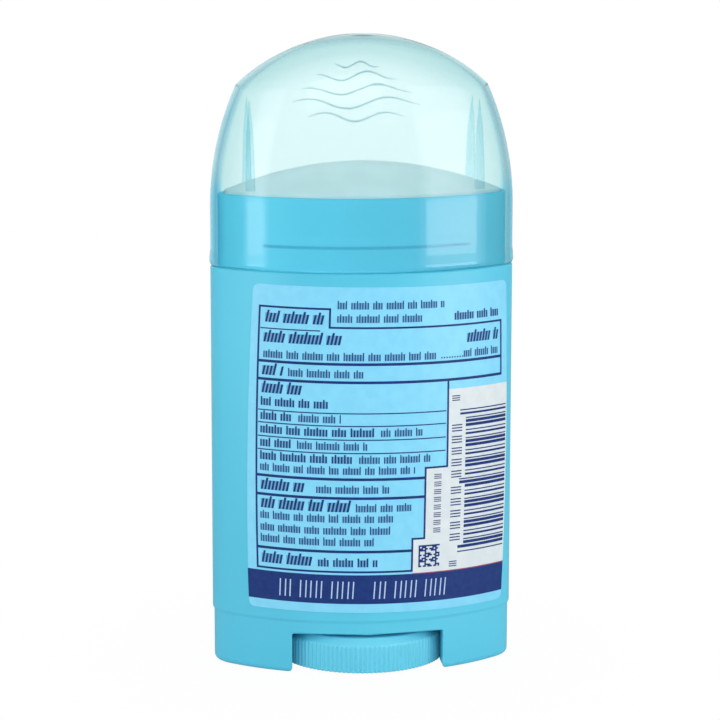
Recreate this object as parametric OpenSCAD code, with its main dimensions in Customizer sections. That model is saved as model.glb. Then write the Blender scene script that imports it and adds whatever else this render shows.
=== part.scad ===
// Oval twist-up deodorant stick: a clear domed cap over a barrel whose thumbwheel
// and feed screw lift a carrier and the solid stick that stands on it.
// The label side faces -Y and the origin is at the middle of the base.

/* [Body] */
// Width of the barrel, end to end of its oval
body_w = 57.2; // [50:0.2:64]
// Depth of the barrel, front to back
body_d = 30; // [26:0.2:34]
// Radius of the two small ends of the oval
end_r = 6.4; // [5.2:0.1:8]
// Height of the shoulder that the cap stands on
shoulder_z = 76.2; // [70:0.1:90]

/* [Base] */
// Height of the band round the foot
band_h = 10.1; // [9.8:0.1:14]
// How far the band stands back from the label zone, each side
band_inset = 0.3; // [0.1:0.05:0.6]
// Rounding of the edge that the pack stands on
foot_round = 1.1; // [0.6:0.1:1.6]
// Wall of the skirt round the two hollow feet
skirt_wall = 1.8; // [1.4:0.1:2.4]
// Height of the thumbwheel windows, front and back
window_h = 7.6; // [7.4:0.1:8.6]
// Width of the thumbwheel windows
window_w = 28.5; // [24:0.5:29.5]
// Rounding of the feet beside each window
window_round = 0.7; // [0.3:0.1:1.2]
// Thickness of the floor over the thumbwheel
floor_t = 1.4; // [1:0.1:2]

/* [Neck] */
// Height of the neck that the cap slides over
neck_h = 13.7; // [11:0.1:14.5]
// How far the neck stands back from the body, each side
neck_inset = 1.45; // [1.4:0.05:1.8]
// Wall of the neck, which sets the bore for the stick
neck_wall = 1.1; // [0.9:0.1:1.5]
// Height of the snap beads above the shoulder
bead_z = 4.3; // [2.5:0.1:6]
// Height of a snap bead with its long upper slope
bead_h = 2.6; // [1.6:0.1:3.4]
// How far a snap bead stands out of the neck
bead_out = 0.25; // [0.1:0.05:0.3]
// Length of a snap bead across the front or back
bead_w = 38.8; // [30:0.2:42]

/* [Cap] */
// Height of the cap's top above the shoulder
cap_rise = 43.2; // [40:0.2:52]
// Wall of the cap
cap_wall = 1.05; // [0.9:0.05:1.1]
// How far the lip stands out at the cap's lower edge
lip_out = 0.2; // [0.1:0.05:0.4]
// Gap between the cap's lower edge and the shoulder
cap_gap = 0.2; // [0.1:0.05:0.5]
// Straight height of the cap's skirt above the shoulder
cap_straight = 10.8; // [9:0.1:13]
// Radius of the cap's ends, seen from the front
cap_side_r = 56; // [50:1:70]
// Radius of the crown, seen from the front
crown_r = 34.5; // [33:0.5:42]
// Radius of the crown, seen from the side
ridge_r = 12.8; // [12.2:0.1:13.4]
// Distance of the stop ribs from the middle of the cap
rib_x = 21.2; // [18:0.2:22]
// Thickness of a stop rib at its foot
rib_t = 1.7; // [1.2:0.1:2.2]
// Thickness of a stop rib at its top
rib_top_t = 0.9; // [0.6:0.1:1.2]
// Height of a stop rib
rib_h = 16.5; // [10:0.5:18]

/* [Thumbwheel and screw] */
// Radius of the thumbwheel over its ribs
wheel_r = 15.8; // [15:0.1:16.4]
// Height of the thumbwheel
wheel_h = 6.6; // [6:0.1:6.8]
// Gap under the thumbwheel
wheel_gap = 0.5; // [0.3:0.1:0.8]
// Number of finger ribs round the thumbwheel
wheel_ribs = 110; // [80:2:130]
// Depth of the grooves between the finger ribs
groove_d = 0.32; // [0.2:0.02:0.5]
// Height of the smooth bevel over the finger ribs
bevel_h = 1.3; // [0.8:0.1:1.8]
// Wall of the thumbwheel's rim
wheel_rim = 1.7; // [1.2:0.1:2.2]
// Thickness of the thumbwheel's web
wheel_web = 1.4; // [1:0.1:2]
// Radius of the journal that turns in the floor
journal_r = 4.2; // [3.8:0.1:5]
// Running clearance of the journal, the carrier and the stick
running_gap = 0.25; // [0.2:0.05:0.4]
// How far the snap collar stands out over the floor
collar_out = 0.7; // [0.4:0.1:1]
// Radius of the screw's plain shank
shank_r = 2.7; // [2.4:0.1:3.2]
// Height of the thread over its root
thread_d = 1; // [0.6:0.1:1.2]
// Rise of the thread in one turn
thread_lead = 4; // [3:0.5:6]
// How far the thread runs on under the nut when the pack is full
thread_more = 3; // [1:0.5:8]
// Depth of the screw's tip under the rim of the neck
tip_drop = 3.4; // [2:0.2:8]

/* [Carrier and stick] */
// Depth of the carrier's plate under the shoulder when the pack is full
plate_drop = 30.2; // [26:0.1:34]
// Thickness of the carrier's plate
plate_t = 1.3; // [1:0.1:2]
// Height of the carrier's wall above the plate
cup_h = 4; // [2:0.5:6]
// Height of the carrier's wall below the plate
guide_h = 5; // [3:0.5:7]
// Wall of the carrier
cup_wall = 1; // [0.8:0.1:1.4]
// Length of the nut under the plate
nut_h = 10; // [8:0.5:12]
// Wall of the nut
nut_wall = 1.6; // [1.2:0.1:2.4]
// Rise of the stick's edge above the rim of the neck
stick_edge = 0.4; // [0:0.1:1]
// Height of the stick's domed top
stick_dome = 5.3; // [4:0.1:7]

/* [Label] */
// Gap round the oval from the barrel's left end to the label's corners
label_left = 11.3; // [7:0.1:18]
// Gap round the oval from the barrel's right end to the label's corners
label_right = 5.3; // [4:0.1:12]
// Gap between the label and the band round the foot
label_low = 2; // [1:0.1:8]
// Gap between the label and the shoulder
label_high = 2.5; // [1:0.1:12]
// Lean of the label, in degrees, with its right side lower
label_lean = 0.66; // [-1:0.02:1]
// How far each side of the label bulges at mid height
label_bow = 0.8; // [0:0.1:1.5]
// Radius of the label's corners
label_round = 1.5; // [0.5:0.1:2]
// Thickness of the label
label_t = 0.1; // [0.06:0.01:0.2]
// Thickness of the print
print_t = 0.04; // [0.02:0.01:0.08]
// Width of the frame's lines
line_w = 0.36; // [0.25:0.01:0.5]
// Width of the heavy rules
rule_w = 0.5; // [0.3:0.05:0.8]
// Width of the fine rules
fine_w = 0.2; // [0.15:0.01:0.3]
// Height of a printed text line's bars
text_h = 1.1; // [0.8:0.1:1.4]
// Height of a printed heading's bars
heading_h = 1.7; // [1.2:0.1:2]
// Space between printed bars in a row
word_gap = 0.7; // [0.4:0.1:1]
// Number of dark bars in the bar code
bar_count = 26; // [12:1:30]

/* [Hidden] */
$fn = 48;
// Steps round one end arc and one side arc of every oval
END_STEPS = 10;
SIDE_STEPS = 18;
// Sides of the thread's section, and the turn between its slices
THREAD_SIDES = 16;
THREAD_STEP = 24;
// Steps up a bowed side of the label
LABEL_STEPS = 12;
eps = 0.01;
a0 = body_w / 2;
b0 = body_d / 2;
overall_h = shoulder_z + cap_rise;
rim_z = shoulder_z + neck_h;
bore_inset = neck_inset + neck_wall;
floor_z = window_h + floor_t;
// Cap levels: lower edge, end of the straight skirt and centres of the arcs
cap_z = shoulder_z + cap_gap;
straight_z = shoulder_z + cap_straight;
side_c = a0 - cap_side_r;
crown_c = overall_h - crown_r;
ridge_c = overall_h - ridge_r;
// Crown edge: where the end arc meets the crown arc, seen from the front
edge_z = crown_edge(straight_z, overall_h, 24);
edge_b = ridge_at(edge_z, 0);
front_r = arc_radius(edge_z - straight_z, b0 - edge_b);
front_c = b0 - front_r;
// Screw and wheel levels
wheel_top = wheel_gap + wheel_h;
hole_r = journal_r + running_gap;
thread_r = shank_r + thread_d;
collar_z = floor_z + running_gap;
plate_z = shoulder_z - plate_drop;
thread_z = plate_z - nut_h - thread_more;
screw_top = rim_z - tip_drop;
// Round the oval from the middle of the front: to the end of the side arc, then to the tip
side_R = side_radius(a0, b0, end_r);
side_deg = 90 - atan2(side_R - b0, a0 - end_r);
side_len = side_R * side_deg * PI / 180;
half_girth = side_len + end_r * (90 - side_deg) * PI / 180;
label_w = 2 * half_girth - label_left - label_right;
label_mid = (label_left - label_right) / 2;
label_z = band_h + label_low;
label_h = shoulder_z - label_high - label_z;
// Printed rows, in shares of the label: left end, right end, foot and count of bars
HEADINGS = [
    [0.065, 0.278, 0.885, 2], [0.064, 0.346, 0.825, 2], [0.807, 0.949, 0.821, 1],
    [0.060, 0.214, 0.667, 1], [0.060, 0.214, 0.370, 1], [0.060, 0.377, 0.313, 2],
    [0.060, 0.240, 0.141, 1]
];
ROWS = [
    [0.322, 0.711, 0.934, 5], [0.323, 0.630, 0.892, 4], [0.752, 0.955, 0.894, 2],
    [0.060, 0.684, 0.777, 6], [0.798, 0.949, 0.777, 2], [0.060, 0.421, 0.724, 4],
    [0.060, 0.296, 0.629, 3], [0.060, 0.338, 0.586, 4], [0.060, 0.623, 0.545, 6],
    [0.060, 0.428, 0.503, 4], [0.060, 0.669, 0.462, 6], [0.060, 0.595, 0.429, 6],
    [0.247, 0.511, 0.370, 3], [0.383, 0.599, 0.313, 2], [0.060, 0.528, 0.280, 4],
    [0.060, 0.519, 0.243, 5], [0.060, 0.450, 0.208, 4], [0.251, 0.465, 0.141, 2]
];
// Frame round the text, stepped in at the right for the pale panel, in shares
FRAME_X = [0.041, 0.298, 0.9665, 0.728, 0.645, 0.601];
FRAME_Y = [0.127, 0.226, 0.444, 0.711, 0.877, 0.933];
// Level rules inside the frame and the dark band's foot and top, in shares
FULL_RULES = [FRAME_Y[3], 0.766];
PART_RULES = [0.355, 0.414];
LOW_RULE = 0.19;
FINE_RULES = [0.494, 0.535, 0.577, 0.616];
TITLE_RULE = [0.06, 0.268, 0.866];
BAND = [0.028, 0.117];
// Bar code: longer bars, other bars and right end, then foot and top
BARS_X = [0.778, 0.803, 0.993];
BARS_Y = [0.172, 0.625];
PANEL_TOP = 0.679;
// Share of the label's width at which its own edge ends the band and panel
EDGE = 0.9995;

// Radius of an arc with a vertical tangent that falls back by drop over height h
function arc_radius(h, drop) = (h * h + drop * drop) / (2 * drop);
// Distance across a circle of radius r about centre height c, at height z
function across(c, r, z) = sqrt(max(r * r - (z - c) * (z - c), 0));
function side_at(z, w) = side_c + across(straight_z, cap_side_r - w, z);
function crown_at(z, w) = across(crown_c, crown_r - w, z);
function ridge_at(z, w) = across(ridge_c, ridge_r - w, z);
// Height where the side arc and the crown arc cross, by halving the interval
function crown_edge(lo, hi, n) = let (m = (lo + hi) / 2)
    n == 0 ? m : side_at(m, 0) < crown_at(m, 0) ? crown_edge(m, hi, n - 1)
                                                 : crown_edge(lo, m, n - 1);

// Half width and half depth of the cap, w inside its outer face, at height z
function cap_a(z, w) = z <= straight_z ? a0 - w : min(side_at(z, w), crown_at(z, w));
function cap_b(z, w) = z <= straight_z ? b0 - w
    : z <= edge_z ? front_c + across(straight_z, front_r - w, z) : ridge_at(z, w);

// Four-centre oval: small arcs of radius r at the ends, large arcs front and back
function side_radius(a, b, r) = ((a - r) * (a - r) + b * b - r * r) / (2 * (b - r));
function arc(cx, cy, r, from, to, steps) = [
    for (i = [0:steps - 1]) let (t = from + (to - from) * i / steps)
        [cx + r * cos(t), cy + r * sin(t)]
];
function oval(a, b, r) =
    let (R = side_radius(a, b, r), k = atan2(R - b, a - r))
    concat(
        arc(a - r, 0, r, -k, k, END_STEPS),
        arc(0, b - R, R, k, 180 - k, SIDE_STEPS),
        arc(r - a, 0, r, 180 - k, 180 + k, END_STEPS),
        arc(0, R - b, R, 180 + k, 360 - k, SIDE_STEPS)
    );
// The body's oval, drawn a distance in from its outer face
function inset_oval(d) = oval(a0 - d, b0 - d, end_r - d);
// A cap oval keeps the share of its depth that the end radius has on the body
function cap_oval(z, w) = let (a = cap_a(z, w), b = cap_b(z, w))
    z <= straight_z ? inset_oval(w) : oval(a, b, b * (end_r - w) / (b0 - w));

// Solid through a stack of rings, each a list of points at its own height
module loft(rings, heights) {
    n = len(rings[0]);
    m = len(rings);
    points = [for (j = [0:m - 1]) for (p = rings[j]) [p[0], p[1], heights[j]]];
    sides = [
        for (j = [0:m - 2]) for (i = [0:n - 1]) let (k = (i + 1) % n)
            for (t = [[j * n + i, (j + 1) * n + i, (j + 1) * n + k],
                      [j * n + i, (j + 1) * n + k, j * n + k]]) t
    ];
    foot = [[for (i = [0:n - 1]) i]];
    top = [[for (i = [n - 1:-1:0]) (m - 1) * n + i]];
    polyhedron(points, concat(foot, top, sides), convexity = 6);
}

// Upright wall or block on the body's oval
module oval_block(inset, z0, z1) {
    translate([0, 0, z0]) linear_extrude(z1 - z0) polygon(inset_oval(inset));
}

module oval_ring(inset, wall, z0, z1) {
    translate([0, 0, z0]) linear_extrude(z1 - z0) difference() {
        polygon(inset_oval(inset));
        polygon(inset_oval(inset + wall));
    }
}

// What stands in front of the middle plane, from an outline drawn in X and Z
module from_front(depth = body_d) {
    rotate([90, 0, 0]) linear_extrude(depth) children();
}

// Barrel: one moulding with its neck, snap beads, floor and feet

module foot_edge() {
    steps = 4;
    turns = [for (i = [0:steps]) 90 * i / steps];
    rings = [for (t = turns) inset_oval(band_inset + foot_round * (1 - sin(t)))];
    loft(rings, [for (t = turns) foot_round * (1 - cos(t))]);
}

module window_outline() {
    w = window_w / 2;
    translate([-w, -eps]) square([window_w, window_h + eps]);
    for (s = [-1, 1]) scale([s, 1]) difference() {
        translate([w - eps, -eps]) square([window_round + eps, window_round + eps]);
        translate([w + window_round, window_round]) circle(window_round, $fn = 32);
    }
}

module foot_hollow() {
    guard_r = wheel_r + 2 * running_gap + skirt_wall;
    difference() {
        oval_block(band_inset + skirt_wall, -eps, window_h);
        translate([0, 0, -1]) cylinder(r = guard_r, h = window_h + 2);
        translate([-window_w / 2 - skirt_wall, -body_d, -1])
            cube([window_w + 2 * skirt_wall, 2 * body_d, window_h + 2]);
    }
}

// A bead has a steep under side, which holds the cap, and a long slope that the cap slides over
module snap_bead() {
    foot = shoulder_z + bead_z;
    out = inset_oval(neck_inset - bead_out);
    root = inset_oval(neck_inset + eps);
    intersection() {
        loft([root, out, out, root], [foot, foot + 0.32 * bead_h, foot + 0.38 * bead_h, foot + bead_h]);
        translate([-bead_w / 2, -body_d, shoulder_z]) cube([bead_w, 2 * body_d, neck_h]);
    }
}

module barrel() {
    pocket_r = wheel_r + 2 * running_gap;
    color("#55C5E2") difference() {
        union() {
            foot_edge();
            oval_block(band_inset, foot_round, band_h);
            oval_block(0, band_h, shoulder_z);
            oval_block(neck_inset, shoulder_z, rim_z);
            snap_bead();
        }
        oval_block(bore_inset, floor_z, rim_z + 1);
        translate([0, 0, -1]) cylinder(r = pocket_r, h = window_h + 1);
        translate([0, 0, window_h - 1]) cylinder(r = hole_r, h = floor_t + 2);
        translate([0, body_d, 0]) from_front(2 * body_d) window_outline();
        foot_hollow();
    }
}

// Thumbwheel: one moulding with the feed screw

module ribbed_disc(h) {
    step = 360 / wheel_ribs;
    linear_extrude(h) polygon([
        for (i = [0:wheel_ribs - 1])
            for (p = [[0, wheel_r], [0.5, wheel_r - groove_d]])
                p[1] * [cos(step * (i + p[0])), sin(step * (i + p[0]))]
    ]);
}

module wheel_body() {
    rib_h = wheel_h - bevel_h;
    inner_r = wheel_r - groove_d - wheel_rim;
    spoke_z = 0.6;
    difference() {
        union() {
            ribbed_disc(rib_h);
            translate([0, 0, rib_h - eps])
                cylinder(r1 = wheel_r - groove_d, r2 = wheel_r - bevel_h, h = bevel_h + eps);
        }
        difference() {
            translate([0, 0, -1]) cylinder(r = inner_r, h = wheel_h - wheel_web + 1);
            translate([0, 0, -2]) cylinder(r = journal_r, h = wheel_h + 2);
            for (t = [0:60:120]) rotate(t)
                translate([-inner_r - 1, -wheel_web / 2, spoke_z])
                    cube([2 * inner_r + 2, wheel_web, wheel_h]);
        }
    }
}

// Screw thread: an off-centre round section, turned as it rises
module thread(r, z0, z1) {
    h = z1 - z0;
    turn = 360 * h / thread_lead;
    translate([0, 0, z0]) rotate(-360 * z0 / thread_lead)
        linear_extrude(h, twist = turn, slices = ceil(turn / THREAD_STEP), $fn = THREAD_SIDES)
            translate([thread_d / 2, 0]) circle(r - thread_d / 2);
}

module thumbwheel() {
    collar_h = 1.4;
    color("#7FD3E6") {
        translate([0, 0, wheel_gap]) wheel_body();
        translate([0, 0, wheel_top - wheel_web])
            cylinder(r = journal_r, h = collar_z - wheel_top + wheel_web);
        translate([0, 0, collar_z])
            cylinder(r1 = hole_r + collar_out, r2 = journal_r - collar_out, h = collar_h);
        translate([0, 0, collar_z]) cylinder(r = shank_r, h = thread_z - collar_z + 1);
        thread(thread_r, thread_z, screw_top);
    }
}

// Elevator: an oval carrier with a wall, a plate and a nut on the screw

module elevator() {
    out = bore_inset + running_gap;
    nut_r = thread_r + nut_wall;
    color("#E8F4F7") difference() {
        union() {
            oval_ring(out, cup_wall, plate_z - guide_h, plate_z + cup_h);
            oval_block(out + cup_wall / 2, plate_z - plate_t, plate_z);
            translate([0, 0, plate_z - nut_h]) cylinder(r = nut_r, h = nut_h);
            for (s = [-1, 1]) scale([s, 1, 1])
                translate([nut_r - 1, -plate_t / 2, plate_z - guide_h])
                    cube([a0 - out - cup_wall / 2 - nut_r + 1, plate_t, guide_h]);
        }
        thread(thread_r + running_gap, plate_z - nut_h - 1, plate_z + 1);
    }
}

// Stick: the solid product, cast round the screw and domed on top

module product_stick() {
    side = bore_inset + running_gap;
    foot = side + cup_wall;
    top_z = rim_z + stick_edge;
    domes = [for (i = [0:7]) 1 - i / 8 - (i == 0 ? 0.02 : 0)];
    rings = concat(
        [inset_oval(side), inset_oval(side)],
        [for (s = domes) s * inset_oval(side)],
        [0.03 * inset_oval(side)]
    );
    heights = concat(
        [plate_z + cup_h, top_z - 0.5],
        [for (s = domes) top_z + stick_dome * (1 - s * s)],
        [top_z + stick_dome]
    );
    color("#C9E3E6") difference() {
        union() {
            loft(rings, heights);
            oval_block(foot, plate_z, plate_z + cup_h + eps);
        }
        translate([0, 0, plate_z - 1])
            cylinder(r = thread_r + running_gap, h = screw_top - plate_z + 1.5);
    }
}

// Cap: a thin domed shell with four stop ribs over the rim of the neck

module cap_form(w, z0, steps_side, steps_crown) {
    top = overall_h - w;
    side_z = [for (i = [1:steps_side]) straight_z + (edge_z - straight_z) * i / steps_side];
    crown_z = [
        for (i = [1:steps_crown]) let (t = 90 * i / steps_crown)
            edge_z + (top - edge_z) * sin(t) - (i == steps_crown ? 0.002 : 0)
    ];
    zs = concat([z0, straight_z], side_z, crown_z);
    loft([for (z = zs) cap_oval(z, w)], zs);
}

// The lip swells out a little way above the cap's lower edge
module cap_lip() {
    swell = [0.6, 1.2, 2.8];
    rings = [inset_oval(0), inset_oval(-lip_out), inset_oval(-lip_out), inset_oval(0)];
    loft(rings, concat([cap_z], [for (h = swell) cap_z + h]));
}

module rib_outline() {
    z = rim_z + stick_edge + 2 * running_gap;
    polygon([
        [rib_x - rib_t / 2, z], [rib_x + rib_t / 2, z],
        [rib_x + rib_top_t / 2, z + rib_h], [rib_x - rib_top_t / 2, z + rib_h]
    ]);
}

module stop_ribs() {
    reach = b0 * 0.36;
    for (s = [-1, 1]) scale([s, 1, 1]) for (y = [-reach, reach + body_d / 2])
        translate([0, y, 0]) from_front(body_d / 2) rib_outline();
}

module cap() {
    color("#D8F3F2", 0.45) difference() {
        union() {
            cap_form(0, cap_z, 7, 9);
            cap_lip();
        }
        difference() {
            cap_form(cap_wall, cap_z - 1, 6, 7);
            stop_ribs();
        }
    }
}

// Label on the -Y side, with its print in two inks

// Place across the front of the barrel at distance s round its oval
function front_x(s) = abs(s) <= side_len ? side_R * sin(s / side_R * 180 / PI)
    : sign(s) * (a0 - end_r + end_r * cos(90 - side_deg - (abs(s) - side_len) / end_r * 180 / PI));
// From the label's own flat plane, measured from its middle, to the front view
function on_front(p) =
    let (t = p[1] / (label_h / 2), u = p[0] * (1 + 2 * label_bow / label_w * (1 - t * t)))
    [front_x(label_mid + u * cos(label_lean) + p[1] * sin(label_lean)),
     label_z + label_h / 2 - u * sin(label_lean) + p[1] * cos(label_lean)];
function u_at(share) = (share - 0.5) * label_w;
function v_at(share) = (share - 0.5) * label_h;

// Upright edge at u, as points from v0 to v1
function edge(u, v0, v1, steps) = [for (i = [0:steps]) [u, v0 + (v1 - v0) * i / steps]];

module label_outline() {
    r = label_round;
    u = label_w / 2;
    v = label_h / 2;
    corner = 5;
    points = concat(
        arc(u - r, r - v, r, -90, 0, corner), edge(u, r - v, v - r, LABEL_STEPS),
        arc(u - r, v - r, r, 0, 90, corner), [[u - r, v]],
        arc(r - u, v - r, r, 90, 180, corner), edge(-u, v - r, r - v, LABEL_STEPS),
        arc(r - u, r - v, r, 180, 270, corner), [[r - u, -v]]
    );
    polygon([for (p = points) on_front(p)]);
}

module film(lift, t) {
    intersection() {
        oval_ring(-lift - t, t, label_z - 1, label_z + label_h + 1);
        from_front() children();
    }
}

module back_label() {
    color("#86D3F2") film(0, label_t) label_outline();
}

// Printed patch between two corners of the label's plane, with its sides bowed
module patch(u0, v0, u1, v1) {
    steps = ceil((v1 - v0) / label_h * LABEL_STEPS);
    points = concat(edge(u1, v0, v1, steps), edge(u0, v1, v0, steps));
    polygon([for (p = points) on_front(p)]);
}

// Level and upright lines between shares of the label, w wide
module level(x0, x1, y, w) {
    patch(u_at(x0) - w / 2, v_at(y) - w / 2, u_at(x1) + w / 2, v_at(y) + w / 2);
}

module upright(x, y0, y1, w) {
    patch(u_at(x) - w / 2, v_at(y0) - w / 2, u_at(x) + w / 2, v_at(y1) + w / 2);
}

// Frame in one stepped line, from the foot of the left side round to the foot again
module frame_lines() {
    upright(FRAME_X[0], FRAME_Y[0], FRAME_Y[5], line_w);
    level(FRAME_X[0], FRAME_X[1], FRAME_Y[5], line_w);
    upright(FRAME_X[1], FRAME_Y[4], FRAME_Y[5], line_w);
    level(FRAME_X[1], FRAME_X[2], FRAME_Y[4], line_w);
    upright(FRAME_X[2], FRAME_Y[3], FRAME_Y[4], line_w);
    upright(FRAME_X[3], FRAME_Y[2], FRAME_Y[3], line_w);
    level(FRAME_X[4], FRAME_X[3], FRAME_Y[2], line_w);
    upright(FRAME_X[4], FRAME_Y[1], FRAME_Y[2], line_w);
    level(FRAME_X[5], FRAME_X[4], FRAME_Y[1], line_w);
    upright(FRAME_X[5], FRAME_Y[0], FRAME_Y[1], line_w);
    level(FRAME_X[0], FRAME_X[5], FRAME_Y[0], line_w);
}

module rules() {
    for (y = FULL_RULES) level(FRAME_X[0], FRAME_X[2], y, rule_w);
    for (y = PART_RULES) level(FRAME_X[0], FRAME_X[4], y, rule_w);
    level(FRAME_X[0], FRAME_X[5], LOW_RULE, rule_w);
    for (y = FINE_RULES) level(TITLE_RULE[0], FRAME_X[3] - word_gap / label_w, y, fine_w);
    level(TITLE_RULE[0], TITLE_RULE[1], TITLE_RULE[2], fine_w);
}

// One printed row: even bars with a space after each
module text_row(row, h) {
    step = (row[1] - row[0]) / row[3];
    space = word_gap / label_w;
    for (i = [0:row[3] - 1]) let (x = row[0] + step * i)
        patch(u_at(x), v_at(row[2]), u_at(x + step - space), v_at(row[2]) + h);
}

// Bar widths follow a plain rule, so the pattern carries no number
module bar_code() {
    foot = BARS_Y[0];
    pitch = (BARS_Y[1] - foot) / bar_count;
    ends = [0, 1, bar_count / 2, bar_count / 2 + 1, bar_count - 2, bar_count - 1];
    for (i = [0:bar_count - 1]) {
        thick = 0.3 + 0.12 * ((3 * i * i + i) % 5);
        left = len(search(i, ends)) > 0 ? BARS_X[0] : BARS_X[1];
        patch(u_at(left), v_at(foot + pitch * i),
              u_at(BARS_X[2]), v_at(foot + pitch * (i + thick)));
    }
}

module dark_print() {
    patch(u_at(1 - EDGE), v_at(BAND[0]), u_at(EDGE), v_at(BAND[1]));
    frame_lines();
    rules();
    for (row = HEADINGS) text_row(row, heading_h);
    for (row = ROWS) text_row(row, text_h);
    bar_code();
}

// Pale panel behind the bar code, down to the dark band
module pale_print() {
    right = u_at(EDGE);
    difference() {
        union() {
            patch(u_at(FRAME_X[3]), v_at(FRAME_Y[2]) - eps, right, v_at(PANEL_TOP));
            patch(u_at(FRAME_X[4]), v_at(FRAME_Y[1]) - eps, right, v_at(FRAME_Y[2]));
            patch(u_at(FRAME_X[5]), v_at(BAND[1]), right, v_at(FRAME_Y[1]));
        }
        dark_print();
    }
}

module label_dark_print() {
    color("#24387E") film(label_t, print_t) dark_print();
}

module label_pale_print() {
    color("#DCE6EA") film(label_t, print_t) pale_print();
}

barrel();
thumbwheel();
elevator();
product_stick();
cap();
back_label();
label_dark_print();
label_pale_print();
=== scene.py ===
# %% [markdown]
# # A twist-up stick under a clear domed cap
# The object is an oval toiletry pack: a satin blue barrel, a label wrapped on its back, a ribbed
# thumbwheel in a window at the foot, and a glossy clear cap over a waxy domed stick. The CAD part gives
# every place and size in the same frame, so each piece below is made where the CAD says, finer, and with
# its real finish.

import math

import bmesh
import bpy
import numpy as np
from mathutils import Matrix, Vector


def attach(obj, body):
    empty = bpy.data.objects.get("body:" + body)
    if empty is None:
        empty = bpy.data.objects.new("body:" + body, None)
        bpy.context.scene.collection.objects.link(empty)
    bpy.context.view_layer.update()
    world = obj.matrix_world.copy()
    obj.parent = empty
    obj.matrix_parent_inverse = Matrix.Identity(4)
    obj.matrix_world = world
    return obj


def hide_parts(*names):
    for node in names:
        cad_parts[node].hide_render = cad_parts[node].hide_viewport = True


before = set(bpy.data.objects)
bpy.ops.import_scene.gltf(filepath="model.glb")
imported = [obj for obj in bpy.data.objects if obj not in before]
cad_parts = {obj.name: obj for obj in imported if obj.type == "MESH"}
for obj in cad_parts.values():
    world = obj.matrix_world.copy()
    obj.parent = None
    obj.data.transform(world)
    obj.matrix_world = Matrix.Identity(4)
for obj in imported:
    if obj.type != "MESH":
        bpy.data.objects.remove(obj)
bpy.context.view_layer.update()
MM = 0.001
print("CAD nodes:", ", ".join(sorted(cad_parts)))

# %% [markdown]
# ## The sizes that the surfaces share
# A drawing office would keep one table of sizes, and so does this lesson. They are the part's own values
# in millimetres. The pack's section is an oval of four arcs, two wide ones front and back and two small
# ones at the ends, because such an oval can be inset by any wall thickness and stay exact.

# %% Sizes in millimetres
HALF_W, HALF_D, END_R = 28.6, 15.0, 6.4
BAND_IN, FOOT_ROUND, SKIRT_WALL = 0.3, 1.1, 1.8
BAND_Z, SHOULDER_Z, RIM_Z, TOP_Z = 10.1, 76.2, 89.9, 119.4
WINDOW_W, WINDOW_H, WINDOW_ROUND, FLOOR_Z = 28.5, 7.6, 1.1, 9.0
NECK_IN, BORE_IN = 1.45, 2.55
BEAD_OUT, BEAD_LOW, BEAD_H, BEAD_HALF = 0.25, 80.5, 2.6, 19.4
CAP_Z, STRAIGHT_Z, CAP_WALL, LIP_OUT = 76.4, 87.0, 1.05, 0.2
CAP_SIDE_R, CROWN_R, RIDGE_R = 56.0, 34.5, 12.8
RIB_X, RIB_FOOT_T, RIB_TOP_T, RIB_Z, RIB_H, RIB_TIP = 21.2, 1.7, 0.9, 90.8, 16.5, 4.6
WHEEL_R, WHEEL_LOW, WHEEL_TOP, GROOVE_D, BEVEL_H = 15.8, 0.5, 7.1, 0.32, 1.3
JOURNAL_R, SHANK_R, THREAD_D, LEAD = 4.2, 2.7, 1.0, 4.0
THREAD_LOW, SCREW_TOP, PLATE_Z, CUP_H, GAP = 33.0, 86.5, 46.0, 4.0, 0.25

# The oval's wide arc, and its length from the middle of the front to the end arc
SIDE_R = ((HALF_W - END_R) ** 2 + HALF_D**2 - END_R**2) / (2 * (HALF_D - END_R))
SIDE_TURN = math.pi / 2 - math.atan2(SIDE_R - HALF_D, HALF_W - END_R)
SIDE_LEN = SIDE_R * SIDE_TURN
HALF_GIRTH = SIDE_LEN + END_R * (math.pi / 2 - SIDE_TURN)
print(f"wide arc radius {SIDE_R:.2f} mm, half girth {HALF_GIRTH:.2f} mm")

# %% [markdown]
# ## From arrays to meshes
# Every new surface is a grid of points, worked out as one array. Rings of points that lie over one
# another make a skin, and a fan of triangles closes it at a pole. One function turns the arrays into a
# Blender mesh. This is shorter than modelling by hand, and any size can be changed later.


# %% Grids, fans and skins
def quads(rows, cols, closed=True):
    """Faces between neighbouring rows of a grid. With rows of points that run counter-clockwise and climb,
    the faces look outwards."""
    i = np.arange(rows - 1)[:, None] * cols
    j = np.arange(cols if closed else cols - 1)[None, :]
    k = (j + 1) % cols
    return np.stack([i + j, i + k, i + cols + k, i + cols + j], -1).reshape(-1, 4).tolist()


def skin(rings, start, end):
    """A closed skin: rings (m, n, 3) joined by quads, with a fan at each end to a pole."""
    m, n = rings.shape[:2]
    points = np.vstack([rings.reshape(-1, 3), [start, end]])
    j = np.arange(n)
    k = (j + 1) % n
    last = (m - 1) * n
    first_fan = np.stack([np.full(n, m * n), k, j], -1).tolist()
    last_fan = np.stack([last + j, last + k, np.full(n, m * n + 1)], -1).tolist()
    return points, quads(m, n) + first_fan + last_fan


def joined(*parts):
    """Several (points, faces) pairs as one."""
    points, faces, base = [], [], 0
    for some_points, some_faces in parts:
        points.append(some_points)
        faces += [[base + v for v in face] for face in some_faces]
        base += len(some_points)
    return np.vstack(points), faces


# %% Volume and outward faces
def volume(points, faces):
    """Volume of a closed solid whose faces look outwards: the sum over its triangles of
    p0 . (p1 x p2) / 6."""
    tri = np.array([(f[0], f[i], f[i + 1]) for f in faces for i in range(1, len(f) - 1)])
    p = np.asarray(points)[tri]
    return np.sum(p[:, 0] * np.cross(p[:, 1], p[:, 2])) / 6


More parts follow.
